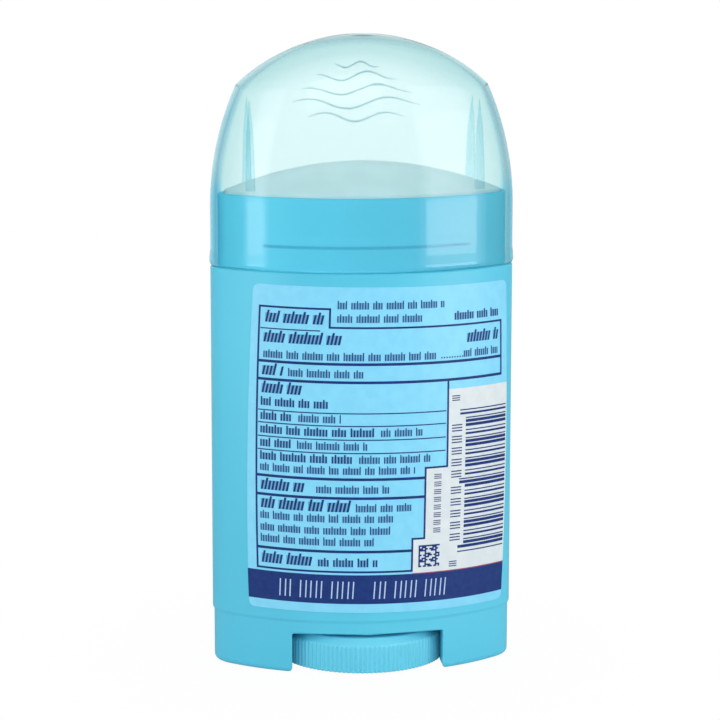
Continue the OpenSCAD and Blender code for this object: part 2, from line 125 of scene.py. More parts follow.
def outward(points, faces):
    """The same closed solid with its faces turned round where its volume comes out negative."""
    return points, faces if volume(points, faces) > 0 else [face[::-1] for face in faces]


# %% From points to a Blender object
SHARP_DEG = 32


def piece_from(name, shape, material=None, sharp_deg=SHARP_DEG):
    """A Blender object from (points in mm, faces), smooth but for edges over sharp_deg."""
    mesh = bpy.data.meshes.new(name)
    mesh.from_pydata((np.asarray(shape[0]) * MM).tolist(), [], shape[1])
    tidy = bmesh.new()
    tidy.from_mesh(mesh)
    bmesh.ops.remove_doubles(tidy, verts=tidy.verts, dist=1e-4 * MM)
    tidy.to_mesh(mesh)
    tidy.free()
    finish_shading(mesh, sharp_deg)
    piece = bpy.data.objects.new(name, mesh)
    bpy.context.scene.collection.objects.link(piece)
    if material is not None:
        mesh.materials.append(material)
    inside = volume(*shape)
    print(f"{name}: {len(mesh.polygons)} faces" + (f", {inside:.0f} mm3" if inside > 0 else ""))
    return piece


def finish_shading(mesh, sharp_deg):
    """Smooth shading, but for edges over sharp_deg."""
    mesh.polygons.foreach_set("use_smooth", np.ones(len(mesh.polygons), bool))
    mesh.set_sharp_from_angle(angle=math.radians(sharp_deg))


def carve(piece, tools):
    """Cuts the tools from the piece with exact Booleans, and removes the tools."""
    for tool in tools:
        step = piece.modifiers.new("cut", "BOOLEAN")
        step.operation, step.solver, step.object = "DIFFERENCE", "EXACT", tool
        bpy.context.view_layer.update()
        carved = bpy.data.meshes.new_from_object(piece.evaluated_get(bpy.context.evaluated_depsgraph_get()))
        piece.modifiers.clear()
        piece.data = carved
        bpy.data.objects.remove(tool)
    finish_shading(piece.data, SHARP_DEG)
    print(f"{piece.name} after {len(tools)} Booleans: {len(piece.data.polygons)} faces")


# %% Oval rings
END_STEPS, SIDE_STEPS = 44, 92


def oval(a, b, r, z):
    """Rings of the four-centre oval for arrays of half width a, half depth b, end radius r and height z.

    A wide arc has radius R = ((a - r)^2 + b^2 - r^2) / (2 (b - r)). A point is its arc's centre plus the
    arc's radius times (cos t, sin t), and t runs evenly within each of the four arcs."""
    a, b, r, z = np.broadcast_arrays(*(np.asarray(v, float).reshape(-1, 1) for v in (a, b, r, z)))
    wide = ((a - r) ** 2 + b**2 - r**2) / (2 * (b - r))
    k = np.arctan2(wide - b, a - r)
    e = np.linspace(-1, 1, END_STEPS, endpoint=False)
    s = np.linspace(0, 1, SIDE_STEPS, endpoint=False)
    side = k + (np.pi - 2 * k) * s
    t = np.hstack([k * e, side, np.pi + k * e, np.pi + side])
    on_end, on_side = np.ones(END_STEPS), np.ones(SIDE_STEPS)
    cx = np.hstack([(a - r) * on_end, 0 * a * on_side, (r - a) * on_end, 0 * a * on_side])
    cy = np.hstack([0 * a * on_end, (b - wide) * on_side, 0 * a * on_end, (wide - b) * on_side])
    radius = np.hstack([r * on_end, wide * on_side, r * on_end, wide * on_side])
    x, y = cx + radius * np.cos(t), cy + radius * np.sin(t)
    return np.stack([x, y, z * np.ones_like(x)], -1)


def inset_oval(inset, z):
    """The body's oval, drawn in by inset: every radius shrinks by it and no centre moves."""
    inset = np.asarray(inset, float)
    return oval(HALF_W - inset, HALF_D - inset, END_R - inset, z)


def oval_depth(x, a, b, r):
    """Half depth of the oval at x: on the wide arc sqrt(R^2 - x^2) - (R - b), else on the end arc."""
    wide = ((a - r) ** 2 + b**2 - r**2) / (2 * (b - r))
    side_end = (a - r) * wide / np.hypot(wide - b, a - r)
    x = np.abs(x)
    on_side = np.sqrt(np.maximum(wide**2 - x**2, 0)) - (wide - b)
    on_end = np.sqrt(np.maximum(r**2 - (x - (a - r)) ** 2, 0))
    return np.where(x <= side_end, on_side, on_end)


# %% Rounded outlines
def rounded(corners, steps=5):
    """A polyline through (x, y, radius) corners, each turned into an arc of its radius."""
    xy = np.array([c[:2] for c in corners], float)
    out = [xy[:1]]
    for i in range(1, len(corners) - 1):
        into, away = xy[i] - xy[i - 1], xy[i + 1] - xy[i]
        into, away = into / np.linalg.norm(into), away / np.linalg.norm(away)
        half_turn = math.acos(np.clip(into @ away, -1, 1)) / 2
        if corners[i][2] == 0 or half_turn < 1e-6:
            out.append(xy[i : i + 1])
            continue
        reach = corners[i][2] * math.tan(half_turn)
        side = math.copysign(1, into[0] * away[1] - into[1] * away[0])
        normal = side * np.array([-into[1], into[0]])
        centre = xy[i] - reach * into + corners[i][2] * normal
        t = np.linspace(0, 2 * half_turn, steps + 1)[:, None]
        out.append(centre + corners[i][2] * (np.sin(t) * into - np.cos(t) * normal))
    return np.vstack(out + [xy[-1:]])


# %% [markdown]
# ## Materials by sums
# A plastic is never one flat value: its colour drifts a little with the wall, its gloss has a fine grain,
# and its surface isn't quite smooth. The small class below lets a material say that as a sum, such as
# 0.35 + 0.1 * grain, and adds the Math nodes itself. That reads like the thought behind it, which a
# hand-wired node tree doesn't.


# %% A socket that can be used in sums
class Wire:
    """An output socket with the operators that the materials use."""

    def __init__(self, tree, socket):
        self.tree, self.socket = tree, socket

    def _sum(self, operation, a, b):
        return self.tree.add("ShaderNodeMath", {"operation": operation}, {0: a, 1: b})

    def __add__(self, other):
        return self._sum("ADD", self, other)

    def __mul__(self, other):
        return self._sum("MULTIPLY", self, other)

    def __sub__(self, other):
        return self._sum("SUBTRACT", self, other)

    def __rsub__(self, other):
        return self._sum("SUBTRACT", other, self)

    def __pow__(self, other):
        return self._sum("POWER", self, other)

    def over(self, low, high):
        """0 at low and 1 at high, eased between."""
        return self.tree.add(
            "ShaderNodeMapRange",
            {"interpolation_type": "SMOOTHSTEP"},
            {"Value": self, "From Min": low, "From Max": high},
        )

    __radd__, __rmul__ = __add__, __mul__


class Tree:
    """A material's node tree, emptied, with one method that adds any node."""

    def __init__(self, holder):
        holder.use_nodes = True
        self.nodes, self.links = holder.node_tree.nodes, holder.node_tree.links
        self.nodes.clear()

    def add(self, kind, settings=None, inputs=None, out=0):
        """A node of a type with its settings, then its sockets by name or number, as its output's Wire."""
        node = self.nodes.new(kind)
        for key, value in (settings or {}).items():
            setattr(node, key, value)
        for key, value in (inputs or {}).items():
            if isinstance(value, Wire):
                self.links.new(value.socket, node.inputs[key])
            else:
                node.inputs[key].default_value = value
        return Wire(self, node.outputs[out])

    def mix(self, factor, a, b):
        """Colour a where factor is 0 and colour b where it is 1."""
        return self.add("ShaderNodeMix", {"data_type": "RGBA"}, {0: factor, 6: a, 7: b}, out=2)

    def noise(self, per_m, detail=2.0, stretch=None):
        """Noise on the piece's own coordinates, with per_m features a metre, perhaps stretched."""
        place = self.add("ShaderNodeTexCoord", out=3)
        if stretch is not None:
            place = self.add("ShaderNodeMapping", inputs={"Vector": place, "Scale": stretch})
        return self.add("ShaderNodeTexNoise", inputs={"Vector": place, "Scale": per_m, "Detail": detail})

    def place(self):
        """The piece's own x, y and z in millimetres."""
        place = self.add("ShaderNodeTexCoord", out=3)
        return [part * (1 / MM) for part in self.parts(place)]

    def parts(self, vector):
        """A vector's x, y and z."""
        return [self.add("ShaderNodeSeparateXYZ", inputs={0: vector}, out=i) for i in range(3)]

    def bump(self, height, depth_mm, strength):
        inputs = {"Height": height, "Distance": depth_mm * MM, "Strength": strength}
        return self.add("ShaderNodeBump", inputs=inputs)

    def principled(self, inputs):
        """The shader of every plastic, wax and ink here, with a plastic's index unless it has its own."""
        return self.add("ShaderNodeBsdfPrincipled", inputs={"IOR": 1.49, **inputs})

    def shade(self, output="ShaderNodeOutputMaterial", **inputs):
        """Links Surface, and perhaps Volume, to the tree's output node."""
        node = self.nodes.new(output)
        for key, value in inputs.items():
            self.links.new(value.socket, node.inputs[key])


def rgb(red, green, blue):
    """A colour as it looks on screen, 0 to 255, in the linear values that the shaders take."""
    c = np.array([red, green, blue]) / 255
    linear = np.where(c <= 0.04045, c / 12.92, ((c + 0.055) / 1.055) ** 2.4)
    return (*linear.tolist(), 1.0)


def material(name):
    """A new material and its emptied tree."""
    made = bpy.data.materials.new(name)
    return made, Tree(made)


# %% [markdown]
# ## Blue satin plastic
# The barrel and the wheel are moulded from one coloured resin. Its skin copies a mould that was lightly
# blasted: a broad soft highlight with a grain of a few tenths of a millimetre. A slow drift keeps large
# faces from looking painted. On the barrel, light and shade are also painted into the colour: the neck is
# painted lighter, and lighter still at the oval's ends, for the light that comes in through the cap, and
# the bead's steep under side is painted darker as shade.


# %% Barrel and wheel plastic
# Heights of the painted shade under the bead, and the span of x over which the painted light on the neck
# grows towards its ends
SHADE_UNDER_BEAD = (BEAD_LOW - 0.1, BEAD_LOW + 0.75)
LIT_ENDS_X = (10, 19)


def neck_tint(tree, body, neck, neck_ends, crease):
    """The barrel's colour body, mixed above the shoulder towards a lighter neck colour, lighter still at
    the oval's ends, which is painted light for the light that comes in through the cap, and towards a
    deeper colour in the bead's steep under side, which is painted shade."""
    across, _, height = tree.place()
    out = across * across
    # Painted light: the neck is lighter than the barrel, and lighter still at the oval's ends
    neck = tree.mix(out.over(LIT_ENDS_X[0] ** 2, LIT_ENDS_X[1] ** 2), neck, neck_ends)
    colour = tree.mix(height.over(SHOULDER_Z - 0.4, SHOULDER_Z + 0.4), body, neck)
    # Painted shade: a deeper colour in the bead's steep under side
    low, high = SHADE_UNDER_BEAD
    under = height.over(low, low + 0.25) * (1 - height.over(high - 0.25, high))
    along = 1 - out.over((0.97 * BEAD_HALF) ** 2, BEAD_HALF**2)
    return tree.mix(under * along, colour, crease)


def satin(name, deep, pale, rough, **neck_colours):
    """Coloured satin plastic: a slow drift from deep to pale, and a fine grain in its gloss and skin."""
    made, tree = material(name)
    drift = tree.noise(45, detail=1, stretch=(1, 1, 0.4))
    grain = tree.noise(3600, detail=3)
    colour = tree.mix(drift.over(0.35, 0.65), deep, pale)
    # Painted light and shade on the neck, where they are given
    if neck_colours:
        colour = neck_tint(tree, colour, **neck_colours)
    gloss = {"Roughness": rough + 0.08 * grain + 0.05 * drift, "Normal": tree.bump(grain, 0.012, 0.35)}
    tree.shade(Surface=tree.principled({"Base Color": colour, **gloss}))
    print(f"{name}: {len(tree.nodes)} nodes")
    return made


# The neck colours are painted light, and the crease colour is painted shade
barrel_plastic = satin(
    "satin_blue_plastic",
    rgb(80, 192, 221),
    rgb(86, 198, 226),
    0.34,
    neck=rgb(76, 207, 240),
    neck_ends=rgb(87, 217, 248),
    crease=rgb(45, 187, 224),
)
wheel_plastic = satin("satin_wheel_plastic", rgb(98, 204, 230), rgb(106, 210, 235), 0.32)

# %% [markdown]
# ## Barrel
# The barrel is one moulding: foot, band, label zone, shoulder, neck and bore. One profile of inset
# against height, carried round the oval, gives it all with true roundings. The thumbwheel's windows, its
# pocket and the hollow feet aren't the same all the way round, so they are cut, with tools whose sides
# flare out at the skin. The flare leaves the window a rounded edge.


# %% Eased ramps and the snap bead
def eased(share):
    """0 below 0, 1 above 1 and 3 s^2 - 2 s^3 between."""
    share = np.clip(share, 0, 1)
    return share**2 * (3 - 2 * share)


def bead_lift(x, z):
    """The snap bead's height off the neck: the product of three eased ramps, which are a short steep under
    side, a long slope above it, and a short ramp at either end."""
    rise = (z - BEAD_LOW) / BEAD_H
    under, slope, end = (rise - 0.06) / 0.2, (1 - rise) / 0.62, (BEAD_HALF - np.abs(x)) / 0.6
    return BEAD_OUT * eased(under) * eased(slope) * eased(end)


# %% The barrel's skin from its profile
# Insets at which the flat underside and the floor go over into their fans
UNDER_IN, FLOOR_IN = 4.6, 5.6
barrel_profile = rounded(
    [
        (UNDER_IN, 0.0, 0),
        (BAND_IN, 0.0, FOOT_ROUND),
        (BAND_IN, BAND_Z - 0.15, 0.3),
        (0.0, BAND_Z + 0.4, 0.6),
        (0.0, SHOULDER_Z, 0.4),
        (NECK_IN, SHOULDER_Z, 0.25),
        *((NECK_IN, z, 0) for z in np.linspace(BEAD_LOW, BEAD_LOW + BEAD_H, 17)),
        (NECK_IN, RIM_Z, 0.3),
        (BORE_IN, RIM_Z, 0.3),
        (BORE_IN, FLOOR_Z, 0.5),
        (FLOOR_IN, FLOOR_Z, 0),
    ]
)
rings = inset_oval(barrel_profile[:, 0], barrel_profile[:, 1])
on_neck = (np.abs(barrel_profile[:, 0] - NECK_IN) < 1e-6)[:, None]
push = bead_lift(rings[..., 0], rings[..., 2]) * on_neck * np.sign(rings[..., 1])
rings[..., 1] += push
barrel = piece_from("barrel_shell", skin(rings, (0, 0, 0), (0, 0, FLOOR_Z)), barrel_plastic)


# %% Tools for the windows
def front_y(x, inset):
    """Half depth of the body at x, inset from its skin."""
    return oval_depth(x, HALF_W - inset, HALF_D - inset, END_R - inset)


def window_tool(side):
    """A plug through the window's outline. At depth d under the skin it stands out by
    r - sqrt(r^2 - (r - d)^2), which leaves the plastic an edge of radius r."""
    half, edge_r, lead = WINDOW_W / 2, 0.4, 0.6
    foot = half + WINDOW_ROUND + lead
    right = rounded(
        [(foot, -0.1 * lead, 0), (half, 0.0, WINDOW_ROUND), (half, WINDOW_H, 0.35), (0, WINDOW_H, 0)],
        steps=7,
    )
    left = right[-2::-1] * [-1, 1]
    outline = np.vstack([[(foot, -2)], right, left, [(-foot, -2)]])
    along = np.gradient(outline, axis=0)
    normal = np.stack([along[:, 1], -along[:, 0]], -1) / np.linalg.norm(along, axis=1)[:, None]
    normal[[0, 1, -1, -2]] = 0
    depth = np.array([-12.0, -lead, *(edge_r * (1 - np.cos(np.linspace(0, np.pi / 2, 6)))), 99.0])
    swell = edge_r - np.sqrt(edge_r**2 - (edge_r - np.clip(depth, 0, edge_r)) ** 2)
    flat = outline[None] + swell[:, None, None] * normal[None]
    y = front_y(flat[..., 0], BAND_IN) - depth[:, None]
    y[0], y[-1] = HALF_D + 8, -1.0
    points = np.stack([flat[..., 0], side * y, flat[..., 1]], -1)
    rows, cols = points.shape[:2]
    ends = [list(range(cols))[::-1], [(rows - 1) * cols + v for v in range(cols)]]
    return outward(points.reshape(-1, 3), quads(rows, cols) + ends)


# %% Tools for the wheel's pocket and the hollow feet
def turned(profile, cols):
    """A closed solid turned round Z from (radius, height) rows, with poles at both ends."""
    profile = np.asarray(profile, float)
    t = np.linspace(0, 2 * np.pi, cols, endpoint=False)
    r, z = profile[:, :1], profile[:, 1:]
    rings = np.stack([r * np.cos(t), r * np.sin(t), z + 0 * t], -1)
    return skin(rings, (0, 0, profile[0, 1]), (0, 0, profile[-1, 1]))


def hollow_tool(side):
    """The hollow of a foot: inside the skirt's wall, outside the wheel's guard, beyond the window."""
    guard, near = WHEEL_R + 2 * GAP + SKIRT_WALL, WINDOW_W / 2 + SKIRT_WALL
    inset = BAND_IN + SKIRT_WALL
    ring = inset_oval(inset, 0.0)[0, :, :2]
    shell_part = ring[ring[:, 0] > near + 0.05]
    shell_part = shell_part[np.argsort(np.arctan2(shell_part[:, 1], shell_part[:, 0] - near))]
    high = front_y(near, inset)
    turn = math.acos(near / guard)
    t = np.linspace(turn, -turn, 25)[:, None]
    outline = np.vstack(
        [[(near, -high)], shell_part, [(near, high)], guard * np.hstack([np.cos(t), np.sin(t)])]
    ) * [side, 1]
    n = len(outline)
    low, top = (np.hstack([outline, np.full((n, 1), z)]) for z in (-1.0, WINDOW_H - 0.03))
    return outward(np.vstack([low, top]), quads(2, n) + [list(range(n))[::-1], list(range(n, 2 * n))])


wide, narrow, ceiling = WHEEL_R + 2 * GAP, JOURNAL_R + GAP, WINDOW_H + 0.02
pocket = turned([(wide, -1), (wide, ceiling), (narrow, ceiling), (narrow, FLOOR_Z + 1)], cols=160)
tools = [pocket, hollow_tool(1), hollow_tool(-1), window_tool(1), window_tool(-1)]
carve(barrel, [piece_from(f"tool_{i}", tool) for i, tool in enumerate(tools)])

# %% [markdown]
# ## Thumbwheel and feed screw
# The wheel is one moulding with the screw. Its rim is a turned shape whose radius is waved by the finger
# ribs, so it is a function of angle and height. The ribs run out in a smooth bevel. Under the web are six
# spokes. The thread is a round section a little off the axis, carried up while it turns, as on the real
# feed screw.

# %% Wheel
RIBS, RIM_T, WEB_T, COLLAR_OUT, COLLAR_H = 110, 1.7, 1.4, 0.7, 1.4


def wheel_points(cols=RIBS * 8):
    """Rings of radius r(z), less the groove's depth times ((1 - cos(ribs * angle)) / 2)^0.8 where the
    ribs stand."""
    inner, web_z, ribs_z = WHEEL_R - GROOVE_D - RIM_T, WHEEL_TOP - WEB_T, WHEEL_TOP - BEVEL_H
    collar_z = FLOOR_Z + GAP + COLLAR_H
    base = rounded(
        [
            (JOURNAL_R, WHEEL_LOW, 0),
            (JOURNAL_R, web_z, 0.4),
            (inner, web_z, 0.5),
            (inner, WHEEL_LOW, 0.3),
            (WHEEL_R, WHEEL_LOW, 0.35),
            (WHEEL_R, ribs_z - 0.5, 0),
            (WHEEL_R - 0.03, ribs_z - 0.3, 0),
            (WHEEL_R - 0.12, ribs_z - 0.1, 0),
            (WHEEL_R - GROOVE_D + 0.02, ribs_z + 0.15, 0.5),
            (WHEEL_R - BEVEL_H, WHEEL_TOP, 0.5),
            (JOURNAL_R, WHEEL_TOP, 0.3),
            (JOURNAL_R, FLOOR_Z + GAP, 0),
            (JOURNAL_R + GAP + COLLAR_OUT, FLOOR_Z + GAP, 0.15),
            (JOURNAL_R - COLLAR_OUT, collar_z, 0.2),
            (SHANK_R, collar_z, 0.3),
            (SHANK_R, THREAD_LOW + 1, 0),
        ],
        steps=4,
    )
    t = np.linspace(0, 2 * np.pi, cols, endpoint=False)
    r, z = base[:, :1], base[:, 1:]
    ribbed = np.clip((ribs_z + 0.1 - z) / 0.7, 0, 1) * (r > WHEEL_R - 0.5)
    wave = 0.5 - 0.5 * np.cos(RIBS * t)
    r = r - GROOVE_D * ribbed * wave**0.8
    rings = np.stack([r * np.cos(t), r * np.sin(t), z + 0 * t], -1)
    return skin(rings, (0, 0, WHEEL_LOW), (0, 0, THREAD_LOW + 1))


# %% Spokes and screw
def block(low, high, turn_deg):
    """A box from its low and high corners, turned about Z."""
    x, y, z = (np.array([low[i], high[i]]) for i in range(3))
    ring = np.array([(x[0], y[0]), (x[1], y[0]), (x[1], y[1]), (x[0], y[1])])
    c, s = math.cos(math.radians(turn_deg)), math.sin(math.radians(turn_deg))
    ring = ring @ np.array([[c, s], [-s, c]])
    points = np.vstack([np.hstack([ring, np.full((4, 1), level)]) for level in z])
    return points, quads(2, 4) + [[3, 2, 1, 0], [4, 5, 6, 7]]


def screw_points(cols=40, rows_a_turn=24):
    """Rings of radius r - d/2 whose centre stands d/2 off the axis and turns by -2 pi z / lead."""
    turns = (SCREW_TOP - THREAD_LOW) / LEAD
    z = np.linspace(THREAD_LOW, SCREW_TOP, int(turns * rows_a_turn))[:, None]
    t = np.linspace(0, 2 * np.pi, cols, endpoint=False)
    run_in = np.clip(np.minimum(z - THREAD_LOW, SCREW_TOP - z) / 1.5, 0, 1)
    radius = SHANK_R - 0.02 + (THREAD_D / 2 + 0.02) * run_in
    off, phase = THREAD_D / 2 * run_in, -2 * np.pi * z / LEAD
    x, y = off * np.cos(phase) + radius * np.cos(t), off * np.sin(phase) + radius * np.sin(t)
    return skin(np.stack([x, y, z + 0 * t], -1), (0, 0, THREAD_LOW), (0, 0, SCREW_TOP))


SPOKE_REACH, SPOKE_HALF = WHEEL_R - 2, 0.7
low_corner = (-SPOKE_REACH, -SPOKE_HALF, WHEEL_LOW + 0.6)
high_corner = (SPOKE_REACH, SPOKE_HALF, WHEEL_TOP - 1)
spokes = [block(low_corner, high_corner, turn) for turn in (0, 60, 120)]
wheel = joined(wheel_points(), screw_points(), *spokes)
thumbwheel = piece_from("ribbed_thumbwheel", wheel, wheel_plastic, 40)

# %% [markdown]
# ## The waxy stick
# The product is poured and sets with a soft domed top. Wax scatters light under its skin, which takes the
# edge off every shadow, so the material has a little subsurface. Rings of the bore's oval shrink towards
# the top as s, and the height rises with 1 - s^2, which is the dome. The blind hole round the screw is
# part of the same skin.

# %% Stick's skin
STICK_EDGE, STICK_DOME = 0.4, 5.3


def stick_points():
    """From the hole's blind end down, out over the foot, up the sides and over the dome."""
    side_in, foot_in = BORE_IN + GAP, BORE_IN + GAP + 1.0
    edge = RIM_Z + STICK_EDGE
    foot = inset_oval([foot_in, foot_in], [PLATE_Z, PLATE_Z + CUP_H])
    side = inset_oval([side_in, side_in], [PLATE_Z + CUP_H, edge - 0.6])
    s = np.minimum(np.cos(np.linspace(0, np.pi / 2, 34)[:-1]), 0.995)[:, None, None]
    ring = inset_oval(side_in, 0.0)
    dome = ring * s
    dome[..., 2] = edge + STICK_DOME * (1 - s[..., 0] ** 2)
    turn = np.arctan2(ring[0, :, 1], ring[0, :, 0])
    hole_r = SHANK_R + THREAD_D + GAP
    hole = np.stack([hole_r * np.cos(turn), hole_r * np.sin(turn), 0 * turn], -1)[None].repeat(2, 0)
    blind_end = SCREW_TOP + 2 * GAP
    hole[0, :, 2], hole[1, :, 2] = blind_end, PLATE_Z
    return skin(np.vstack([hole, foot, side, dome]), (0, 0, blind_end), (0, 0, edge + STICK_DOME))


# %% Wax and stick
wax, tree = material("pale_wax")
mottle, fine = tree.noise(160, detail=4), tree.noise(1500, detail=3)
look = {
    "Base Color": tree.mix(mottle.over(0.3, 0.7), rgb(214, 228, 231), rgb(222, 236, 239)),
    "Roughness": 0.42 + 0.2 * fine,
    "Subsurface Weight": 0.2,
    "Subsurface Radius": (1.0, 1.0, 1.0),
    "Subsurface Scale": 1.2 * MM,
    "IOR": 1.44,
    "Normal": tree.bump(0.6 * fine + mottle, 0.03, 0.5),
}
tree.shade(Surface=tree.principled(look))
stick = piece_from("waxy_stick", stick_points(), wax, 50)

# %% [markdown]
# ## The carrier
# The carrier that lifts the stick is a plain frosted moulding deep in the barrel. The CAD's own shape is
# right, so it stays and only gets a finish.

# %% Carrier finish
frosted, tree = material("frosted_white_plastic")
haze = tree.noise(900, detail=2)
look = {
    "Base Color": tree.mix(haze, rgb(226, 238, 241), rgb(240, 247, 248)),
    "Roughness": 0.4 + 0.12 * haze,
    "Normal": tree.bump(haze, 0.02, 0.3),
}
tree.shade(Surface=tree.principled(look))
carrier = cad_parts["elevator"]
carrier.data.materials.clear()
carrier.data.materials.append(frosted)
print(f"carrier: {len(carrier.data.polygons)} faces of the CAD's own")

# %% [markdown]
# ## The clear cap
# The cap is a thin clear shell. Seen from the front its ends and its crown are arcs that meet in an edge,
# and seen from the side it closes in a ridge. So each level is an oval whose half width and half depth
# follow those arcs, for the outer face and again a wall's thickness inside it. It is made as one closed
# wall, because glass in Blender needs both faces: the tint then deepens by itself where one looks along
# the wall.


# %% The cap's arcs
def across(centre, radius, z):
    """Distance across a circle about height centre at height z: sqrt(radius^2 - (z - centre)^2)."""
    return np.sqrt(np.maximum(radius**2 - (z - centre) ** 2, 0))


CROWN_C, RIDGE_C = TOP_Z - CROWN_R, TOP_Z - RIDGE_R
GATE_MARK, EDGE_SOFT, SKIRT_TOP = 0.04, 0.04, 86.0


def end_at(z, w):
    """Half width that the end arcs give at height z, w inside the outer face."""
    return HALF_W - CAP_SIDE_R + across(STRAIGHT_Z, CAP_SIDE_R - w, z)


heights = np.linspace(STRAIGHT_Z, TOP_Z, 200001)
EDGE_Z = float(heights[np.argmax(end_at(heights, 0) > across(CROWN_C, CROWN_R, heights))])
EDGE_B = float(across(RIDGE_C, RIDGE_R, EDGE_Z))
FRONT_R = ((EDGE_Z - STRAIGHT_Z) ** 2 + (HALF_D - EDGE_B) ** 2) / (2 * (HALF_D - EDGE_B))
print(f"crown edge at {EDGE_Z:.2f} mm, front arc radius {FRONT_R:.1f} mm")


def cap_axes(z, w):
    """Half width, half depth and end radius of the cap at height z, w inside its outer face. Where the
    end arc and the crown arc cross, the lesser of the two is eased by k ln(1 + exp(-difference / k))."""
    z, w = np.broadcast_arrays(np.asarray(z, float), np.asarray(w, float))
    straight = z <= STRAIGHT_Z
    ends, crown = end_at(z, w), across(CROWN_C, CROWN_R - w, z)
    lesser = np.minimum(ends, crown)
    softer = lesser - EDGE_SOFT * np.log1p(np.exp(-np.abs(ends - crown) / EDGE_SOFT)) * (lesser > 1)
    a = np.where(straight, HALF_W - w, softer)
    front = HALF_D - FRONT_R + across(STRAIGHT_Z, FRONT_R - w, z)
    b = np.where(straight, HALF_D - w, np.where(z <= EDGE_Z, front, across(RIDGE_C, RIDGE_R - w, z)))
    return a, b, b * (END_R - w) / (HALF_D - w)


def cap_y(x, z, w):
    """Half depth of the cap at x and z, w inside its outer face."""
    return oval_depth(x, *cap_axes(z, w))


# %% The cap's wall
def cap_levels(w, low):
    """Heights from low to just under the top: even on the sides, closer together over the crown."""
    top = TOP_Z - w
    side = np.linspace(STRAIGHT_Z, EDGE_Z, 34)
    t = np.linspace(0, np.pi / 2, 34)[1:-1]
    return np.hstack([low, side, EDGE_Z + (top - EDGE_Z) * np.sin(t)])


def cap_points():
    """Down the inner face from under the crown, out round the lip and up the outer face. Inside, the gate
    mark hangs at the middle, as depth times exp(-(r / 1.7 mm)^4)."""
    lip = [(-LIP_OUT, CAP_Z + 0.6, 0.8), (-LIP_OUT, CAP_Z + 1.2, 0.8), (0, CAP_Z + 2.8, 3)]
    outer_path = rounded([(CAP_WALL, CAP_Z, 0), (0, CAP_Z, 0.1), *lip, (0, SKIRT_TOP, 0)])[1:]
    inner_path = rounded([(0, CAP_Z, 0), (CAP_WALL, CAP_Z, 0.3), (CAP_WALL, SKIRT_TOP, 0)], steps=4)[1:]
    faces = []
    for path, wall in ((outer_path, 0.0), (inner_path, CAP_WALL)):
        z = cap_levels(wall, path[:, 1])
        w = np.full_like(z, wall)
        w[: len(path)] = path[:, 0]
        faces.append(oval(*cap_axes(z, w), z))
    outer, inner = faces
    inner[..., 2] -= GATE_MARK * np.exp(-((np.hypot(inner[..., 0], inner[..., 1]) / 1.7) ** 4))
    return skin(np.vstack([inner[::-1], outer]), (0, 0, TOP_Z - CAP_WALL - GATE_MARK), (0, 0, TOP_Z))


# %% Rib shape
def rib_points(side_x, side_y, rows=18):
    """A stop rib: a fin, thinner towards its top, rooted just inside the wall, with eased corners at
    its tip. The tip stands upright and then follows the crown's slope, and the fin thins to a tenth in its
    last 6 mm."""
    z = RIB_Z + RIB_H * np.sin(np.linspace(0, np.pi / 2, rows))[:, None]
    half = (RIB_FOOT_T + (RIB_TOP_T - RIB_FOOT_T) * (z - RIB_Z) / RIB_H) / 2
    half = half * (0.1 + 0.9 * np.clip((RIB_Z + RIB_H - z) / 6, 0, 1) ** 0.7)
    root = cap_y(RIB_X + half, z, CAP_WALL - 0.15)
    tip = np.minimum(RIB_TIP, root - 0.3)
    t = np.linspace(0, np.pi / 2, 4)
    ease = np.minimum(0.18, 0.5 * half)
    c, s = ease * (1 - np.cos(t)), ease * (1 - np.sin(t))
    x = RIB_X + np.hstack([half - c, -half + s, -half, half])
    y = np.hstack([tip + s + 0 * half, tip + c + 0 * half, root, root])
    rings = np.stack([side_x * x, side_y * y, z + 0 * x], -1)
    n = rings.shape[1]
    ends = [list(range(n))[::-1], [(rows - 1) * n + v for v in range(n)]]
    return outward(rings.reshape(-1, 3), quads(rows, n) + ends)


# %% [markdown]
# ## Clear tinted plastic
# The plastic lets light through, bends it a little and takes some red out of it on the way. The tint is a
# volume: 1 mm of wall takes about 12% of the red and 3% of the green and the blue, so a face seen head-on
# looks pale mint. On top of that the wall's colour is painted deeper towards the cap's outline as seen
# from the front, where more of it lies along the sight: painted shade that stands in for that longer path.
# On the skirt's ends a blue is painted most of all, standing in for the neck seen edge-on through the wall.
# Solid glass would shut out the lamps, so for shadow rays it is transparent.

# %% Distance in from the outline
def from_outline(tree, x, z):
    """Distance in from the cap's outline, seen from the front: the lesser of the distances from the end
    arc, R - sqrt((|x| - centre)^2 + (z above its level)^2), and from the crown's arc, in the same way."""

    def within(radius, across, level):
        up = tree.add("ShaderNodeMath", {"operation": "MAXIMUM"}, {0: z - level, 1: 0.0})
        return radius - (across * across + up * up) ** 0.5

    aside = tree.add("ShaderNodeMath", {"operation": "ABSOLUTE"}, {0: x})
    end = within(CAP_SIDE_R, aside - (HALF_W - CAP_SIDE_R), STRAIGHT_Z)
    crown = within(CROWN_R, x, CROWN_C)
    return tree.add("ShaderNodeMath", {"operation": "MINIMUM"}, {0: end, 1: crown})


# %% Cap plastic
def clear_plastic(tree, colour, ior, **inside):
    """Plastic that bends light by its index, with shadow rays let straight through."""
    haze = tree.noise(220, detail=2)
    look = {"Base Color": colour, "Roughness": 0.05 + 0.04 * haze, "IOR": ior, "Transmission Weight": 1.0}
    glass = tree.principled({**look, "Normal": tree.bump(haze, 0.05, 0.15)})
    through = tree.add("ShaderNodeBsdfTransparent", inputs={"Color": (0.97, 0.99, 0.99, 1)})
    shadow_ray = tree.add("ShaderNodeLightPath", out=1)
    both = tree.add("ShaderNodeMixShader", inputs={0: shadow_ray, 1: glass, 2: through})
    tree.shade(Surface=both, **inside)


